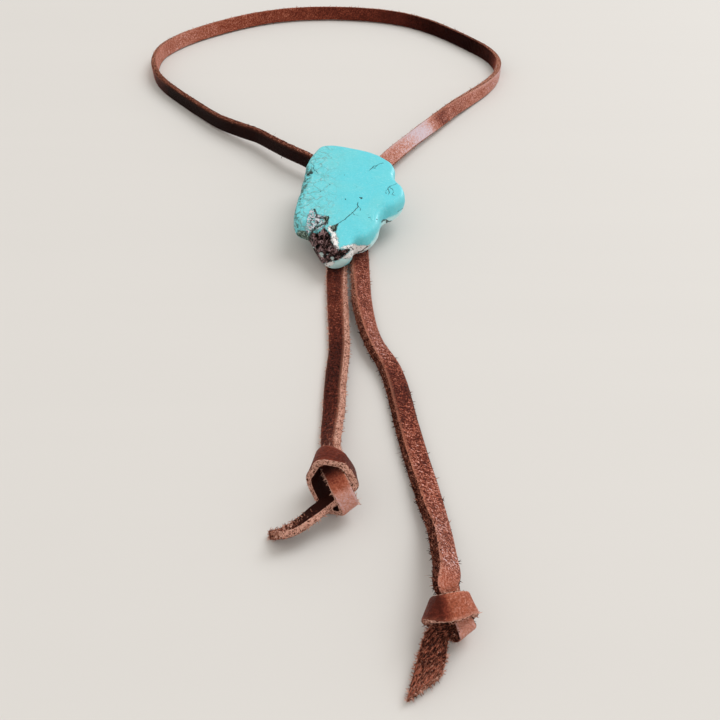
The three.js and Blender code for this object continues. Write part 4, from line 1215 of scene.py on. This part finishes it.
def keeper_skin(lip):
    """A flat leather tube with rounded lips, its top cut to the slab's tilt."""
    inside = (LACE_SPACING + LACE_WIDTH + 2 * KEEPER_GAP, LACE_THICKNESS + 2 * KEEPER_GAP)
    half = KEEPER_LENGTH / 2
    turn = np.linspace(0, math.tau, KEEPER_LOOP, endpoint=False)
    across, up = (np.sign(v) * np.abs(v) ** SQUARENESS / 2 for v in (np.cos(turn), np.sin(turn)))

    # How far outside each ring lies, and its place along the keeper.
    bend = np.linspace(0, math.pi, LIP_RINGS)[1:-1]
    stations = [(1.0, y) for y in np.linspace(-half + lip, half - lip, KEEPER_RINGS[0])]
    stations += [(0.5 + 0.5 * math.cos(a), half - lip + lip * math.sin(a)) for a in bend]
    stations += [(0.0, y) for y in np.linspace(half - lip, -half + lip, KEEPER_RINGS[1])]
    stations += [(0.5 + 0.5 * math.cos(a), -half + lip - lip * math.sin(a)) for a in bend[::-1]]
    rings = []
    for outer, y in stations:
        top = SLAB_LIFT + (KEEPER_AT[1] + y - SLAB_AT[1]) * math.tan(TILT) - SEAT_GAP
        width = inside[0] + 2 * KEEPER_WALL * outer
        low = mixed(KEEPER_WALL, 0.0, outer)
        high = mixed(KEEPER_WALL + inside[1], top, outer)
        rings.append(np.column_stack([across * width, np.full(KEEPER_LOOP, y),
                                      (low + high) / 2 + up * (high - low)]))
    points = np.vstack(rings)
    faces = ring_faces(len(rings) + 1, KEEPER_LOOP) % len(points)
    outer = np.repeat([s[0] for s in stations], KEEPER_LOOP)
    deep, wide, from_end = KEEPER_CREASE
    creased = np.exp(-((np.abs(points[:, 1]) - (half - from_end)) / wide) ** 2)
    shrink = (KEEPER_PEBBLES * rough(points * 1.1, 2) - deep * creased) * smooth(0.7, 1.0, outer)
    outward = unit((points - np.array([0, 0, points[:, 2].mean()])) * np.array([0.25, 0, 1]))
    points = points + outward * shrink[:, None]
    points[:, 2] = np.maximum(points[:, 2], LOWEST)
    masks = {"lip": smooth(0.95, 0.5, outer) * smooth(0.0, 0.4, outer),
             "crease": creased * (outer > 0.9)}
    return points + np.array([*KEEPER_AT, 0]) - ORIGIN, faces.tolist(), masks


def keeper_leather(settings):
    """Dark leather, rubbed at its lips, with painted shade in the creases beside them."""
    f = Finish("keeper_leather")
    where = f.place(IN_MILLIMETRES)
    lip, crease = f.masks("lip", "crease")
    mottle = f.noise(where, 1.1, 4, 0.62, 0.4)
    pebble = f.range(f.cells(f.shaken(where, 1.4, 0.5), 1.6), 0.02, 0.2)
    fibres = f.noise(where, 2.6, 4, 0.7, 0.6)
    faint, pale, deep = ([min(1, c * part) for c in settings.colour] for part in (0.4, 2.6, 0.3))
    shade = f.mix(f.range(mottle, 0.34, 0.64), faint, settings.colour)
    shade = f.mix(f.range(mottle, 0.5, 0.72) * 0.4, shade, pale)
    shade = f.mix(lip, shade, f.mix(f.range(fibres, 0.4, 0.56), (0.20, 0.055, 0.035),
                                    (0.66, 0.32, 0.20)))
    # Painted shade: the crease beside each lip is darkened.
    f.set(Base_Color=f.mix(crease * 0.7, shade, deep),
          Roughness=f.blend(lip, f.range(mottle, 0.3, 0.7, 0.42, 0.58), 0.9))
    f.bump(f.blend(lip, pebble * 0.7 + mottle * 0.6, fibres * 2.4), 0.1, 0.9)
    return f.material


# ---- operators ----

class NECKLACE_OT_stage(bpy.types.Operator):
    """Set the camera, the floor and the lights"""

    bl_idname = "necklace.stage"
    bl_label = "Stage"

    def execute(self, context):
        settings = context.scene.necklace_stage
        lens = bpy.data.cameras.new("camera")
        lens.lens = CAMERA_LENS
        lens.sensor_width = CAMERA_SENSOR
        lens.clip_start = 0.01
        camera = linked("camera", lens)
        camera.location = [v * MM for v in CAMERA_AT]
        camera.rotation_euler = (math.radians(CAMERA_PITCH), 0, 0)
        context.scene.camera = camera

        f = Finish("floor")
        grain = f.noise(f.place((3, 40, 3)), 1.0, 3)
        f.set(Base_Color=f.mix(f.range(grain, 0.3, 0.7, 0, 0.25), settings.floor,
                               [0.97 * c for c in settings.floor]),
              Roughness=0.75, Specular_IOR_Level=0.2)
        mesh = bpy.data.meshes.new("floor")
        mesh.from_pydata([(x * FLOOR_REACH, y * FLOOR_REACH, 0)
                          for x, y in ((-1, -1), (1, -1), (1, 1), (-1, 1))], [], [(0, 1, 2, 3)])
        mesh.materials.append(f.material)
        linked("floor", mesh)

        for name, (power, size, place, tint, unseen) in LAMPS.items():
            lamp = bpy.data.lights.new(name, "AREA")
            lamp.shape = "RECTANGLE"
            lamp.size, lamp.size_y = size
            lamp.energy = getattr(settings, power)
            lamp.color = tint
            made = linked(name, lamp)
            made.location = place
            aim = Vector(LAMPS_AIM) - Vector(place)
            made.rotation_euler = aim.to_track_quat("-Z", "Y").to_euler()
            setattr(made, unseen, False)
        world = bpy.data.worlds.new("studio")
        context.scene.world = world
        world.use_nodes = True
        sky = Nodes(world.node_tree)
        kind = sky.node("LightPath").outputs["Is Glossy Ray"]
        dimmed = sky.node("MapRange", {"Value": kind, "To Min": settings.sky,
                                       "To Max": settings.sky * GLOSSY_SHARE})
        background = sky.tree.nodes["Background"]
        sky.join(SKY_TINT, background.inputs["Color"])
        sky.join(dimmed.outputs["Result"], background.inputs["Strength"])
        context.scene.view_settings.view_transform = "Standard"
        return {"FINISHED"}


class NECKLACE_OT_lace(bpy.types.Operator):
    """Make the leather lace with its two knotted tails"""

    bl_idname = "necklace.lace"
    bl_label = "Leather lace"

    def execute(self, context):
        settings = context.scene.necklace_lace
        skin, line = lace_skin(settings)
        lace = new_piece("leather_lace", skin["points"], skin["faces"], skin["masks"],
                         lace_leather(settings), "lace_leather", "lace", skin["uv"])
        return {"FINISHED"}


class NECKLACE_OT_fibres(bpy.types.Operator):
    """Stand loose fibres on the lace's cut edges and flesh side"""

    bl_idname = "necklace.fibres"
    bl_label = "Lace fibres"

    def execute(self, context):
        lace = bpy.data.objects.get("leather_lace")
        if lace is None:
            raise RuntimeError("make the leather lace first")
        settings = context.scene.necklace_fibres
        mesh = lace.data.copy()

        def read(held, key, width=1):
            values = np.empty(width * len(mesh.vertices), np.float32)
            held.foreach_get(key, values)
            return values

        cut, flesh, deep = (read(mesh.attributes[name].data, "value")
                            for name in ("frayed", "flesh_side", "flesh_tone"))
        y = read(mesh.vertices, "co", 3)[1::3] / MM
        near = (LOOP_FUZZ + (1 - LOOP_FUZZ) * (1 - smooth(*TAILS_FROM, y))
                + END_FUZZ * (1 - smooth(*KNOTS_FROM, y)))
        # Where the flesh tone paints deep shade, in the knots' hollows, no flesh fibres stand.
        fuzz = (cut + FLESH_FUZZ * (flesh * np.clip(1.6 + deep, 0, 1))) * near
        mesh.attributes.new("fuzz", "FLOAT", "POINT").data.foreach_set(
            "value", fuzz.astype(np.float32))
        bed = linked("fibre_bed", mesh)
        modifier = bed.modifiers.new("fibres", "NODES")
        modifier.node_group = fibre_tree(fibre_leather(context.scene.necklace_lace))
        given = {item.name: item.identifier for item in modifier.node_group.interface.items_tree}
        modifier[given["Seed"]] = settings.seed
        for kind in FIBRE_KINDS:
            for size in FIBRE_SIZES:
                modifier[given[kind + " " + size]] = getattr(settings, kind.lower() + "_" + size)
        made = plain_copy(bed, "lace_fibres")
        if not len(made.data.polygons):
            raise RuntimeError("no fibre was made")
        mesh = made.data
        points = read(mesh.vertices, "co", 3)
        points[2::3] = np.maximum(points[2::3], 0.0)
        mesh.vertices.foreach_set("co", points)
        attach(made, BODY)
        return {"FINISHED"}


class NECKLACE_OT_stone(bpy.types.Operator):
    """Make the turquoise slab"""

    bl_idname = "necklace.stone"
    bl_label = "Turquoise slab"

    def execute(self, context):
        settings = context.scene.necklace_stone
        new_piece("turquoise_stone", *slab_skin(settings), turquoise_stone(settings),
                  "turquoise", "turquoise_slab")
        return {"FINISHED"}


class NECKLACE_OT_keeper(bpy.types.Operator):
    """Make the leather keeper that holds both laces behind the slab"""

    bl_idname = "necklace.keeper"
    bl_label = "Keeper"

    def execute(self, context):
        settings = context.scene.necklace_keeper
        new_piece("stone_keeper", *keeper_skin(settings.lip / MM), keeper_leather(settings),
                  "slide_leather", "slide")
        return {"FINISHED"}


PIECES = {"stage": (StageSettings, NECKLACE_OT_stage), "lace": (LaceSettings, NECKLACE_OT_lace),
          "fibres": (FibreSettings, NECKLACE_OT_fibres),
          "stone": (StoneSettings, NECKLACE_OT_stone),
          "keeper": (KeeperSettings, NECKLACE_OT_keeper)}


class NECKLACE_PT_panel(bpy.types.Panel):
    """The necklace's pieces and their sizes"""

    bl_label = "Lariat necklace"
    bl_idname = "NECKLACE_PT_panel"
    bl_space_type = "VIEW_3D"
    bl_region_type = "UI"
    bl_category = "Necklace"

    def draw(self, context):
        for name in PIECES:
            box = self.layout.box()
            box.operator("necklace." + name)
            settings = getattr(context.scene, "necklace_" + name)
            for key in settings.__annotations__:
                box.prop(settings, key)


def register():
    for name, (settings, operator) in PIECES.items():
        bpy.utils.register_class(settings)
        bpy.utils.register_class(operator)
        setattr(bpy.types.Scene, "necklace_" + name, PointerProperty(type=settings))
    bpy.utils.register_class(NECKLACE_PT_panel)


def unregister():
    bpy.utils.unregister_class(NECKLACE_PT_panel)
    for name, (settings, operator) in PIECES.items():
        delattr(bpy.types.Scene, "necklace_" + name)
        bpy.utils.unregister_class(operator)
        bpy.utils.unregister_class(settings)


def main():
    register()
    bpy.ops.necklace.stage()
    bpy.ops.necklace.lace()
    bpy.ops.necklace.fibres()
    bpy.ops.necklace.stone()
    bpy.ops.necklace.keeper()


if __name__ == "__main__":
    main()
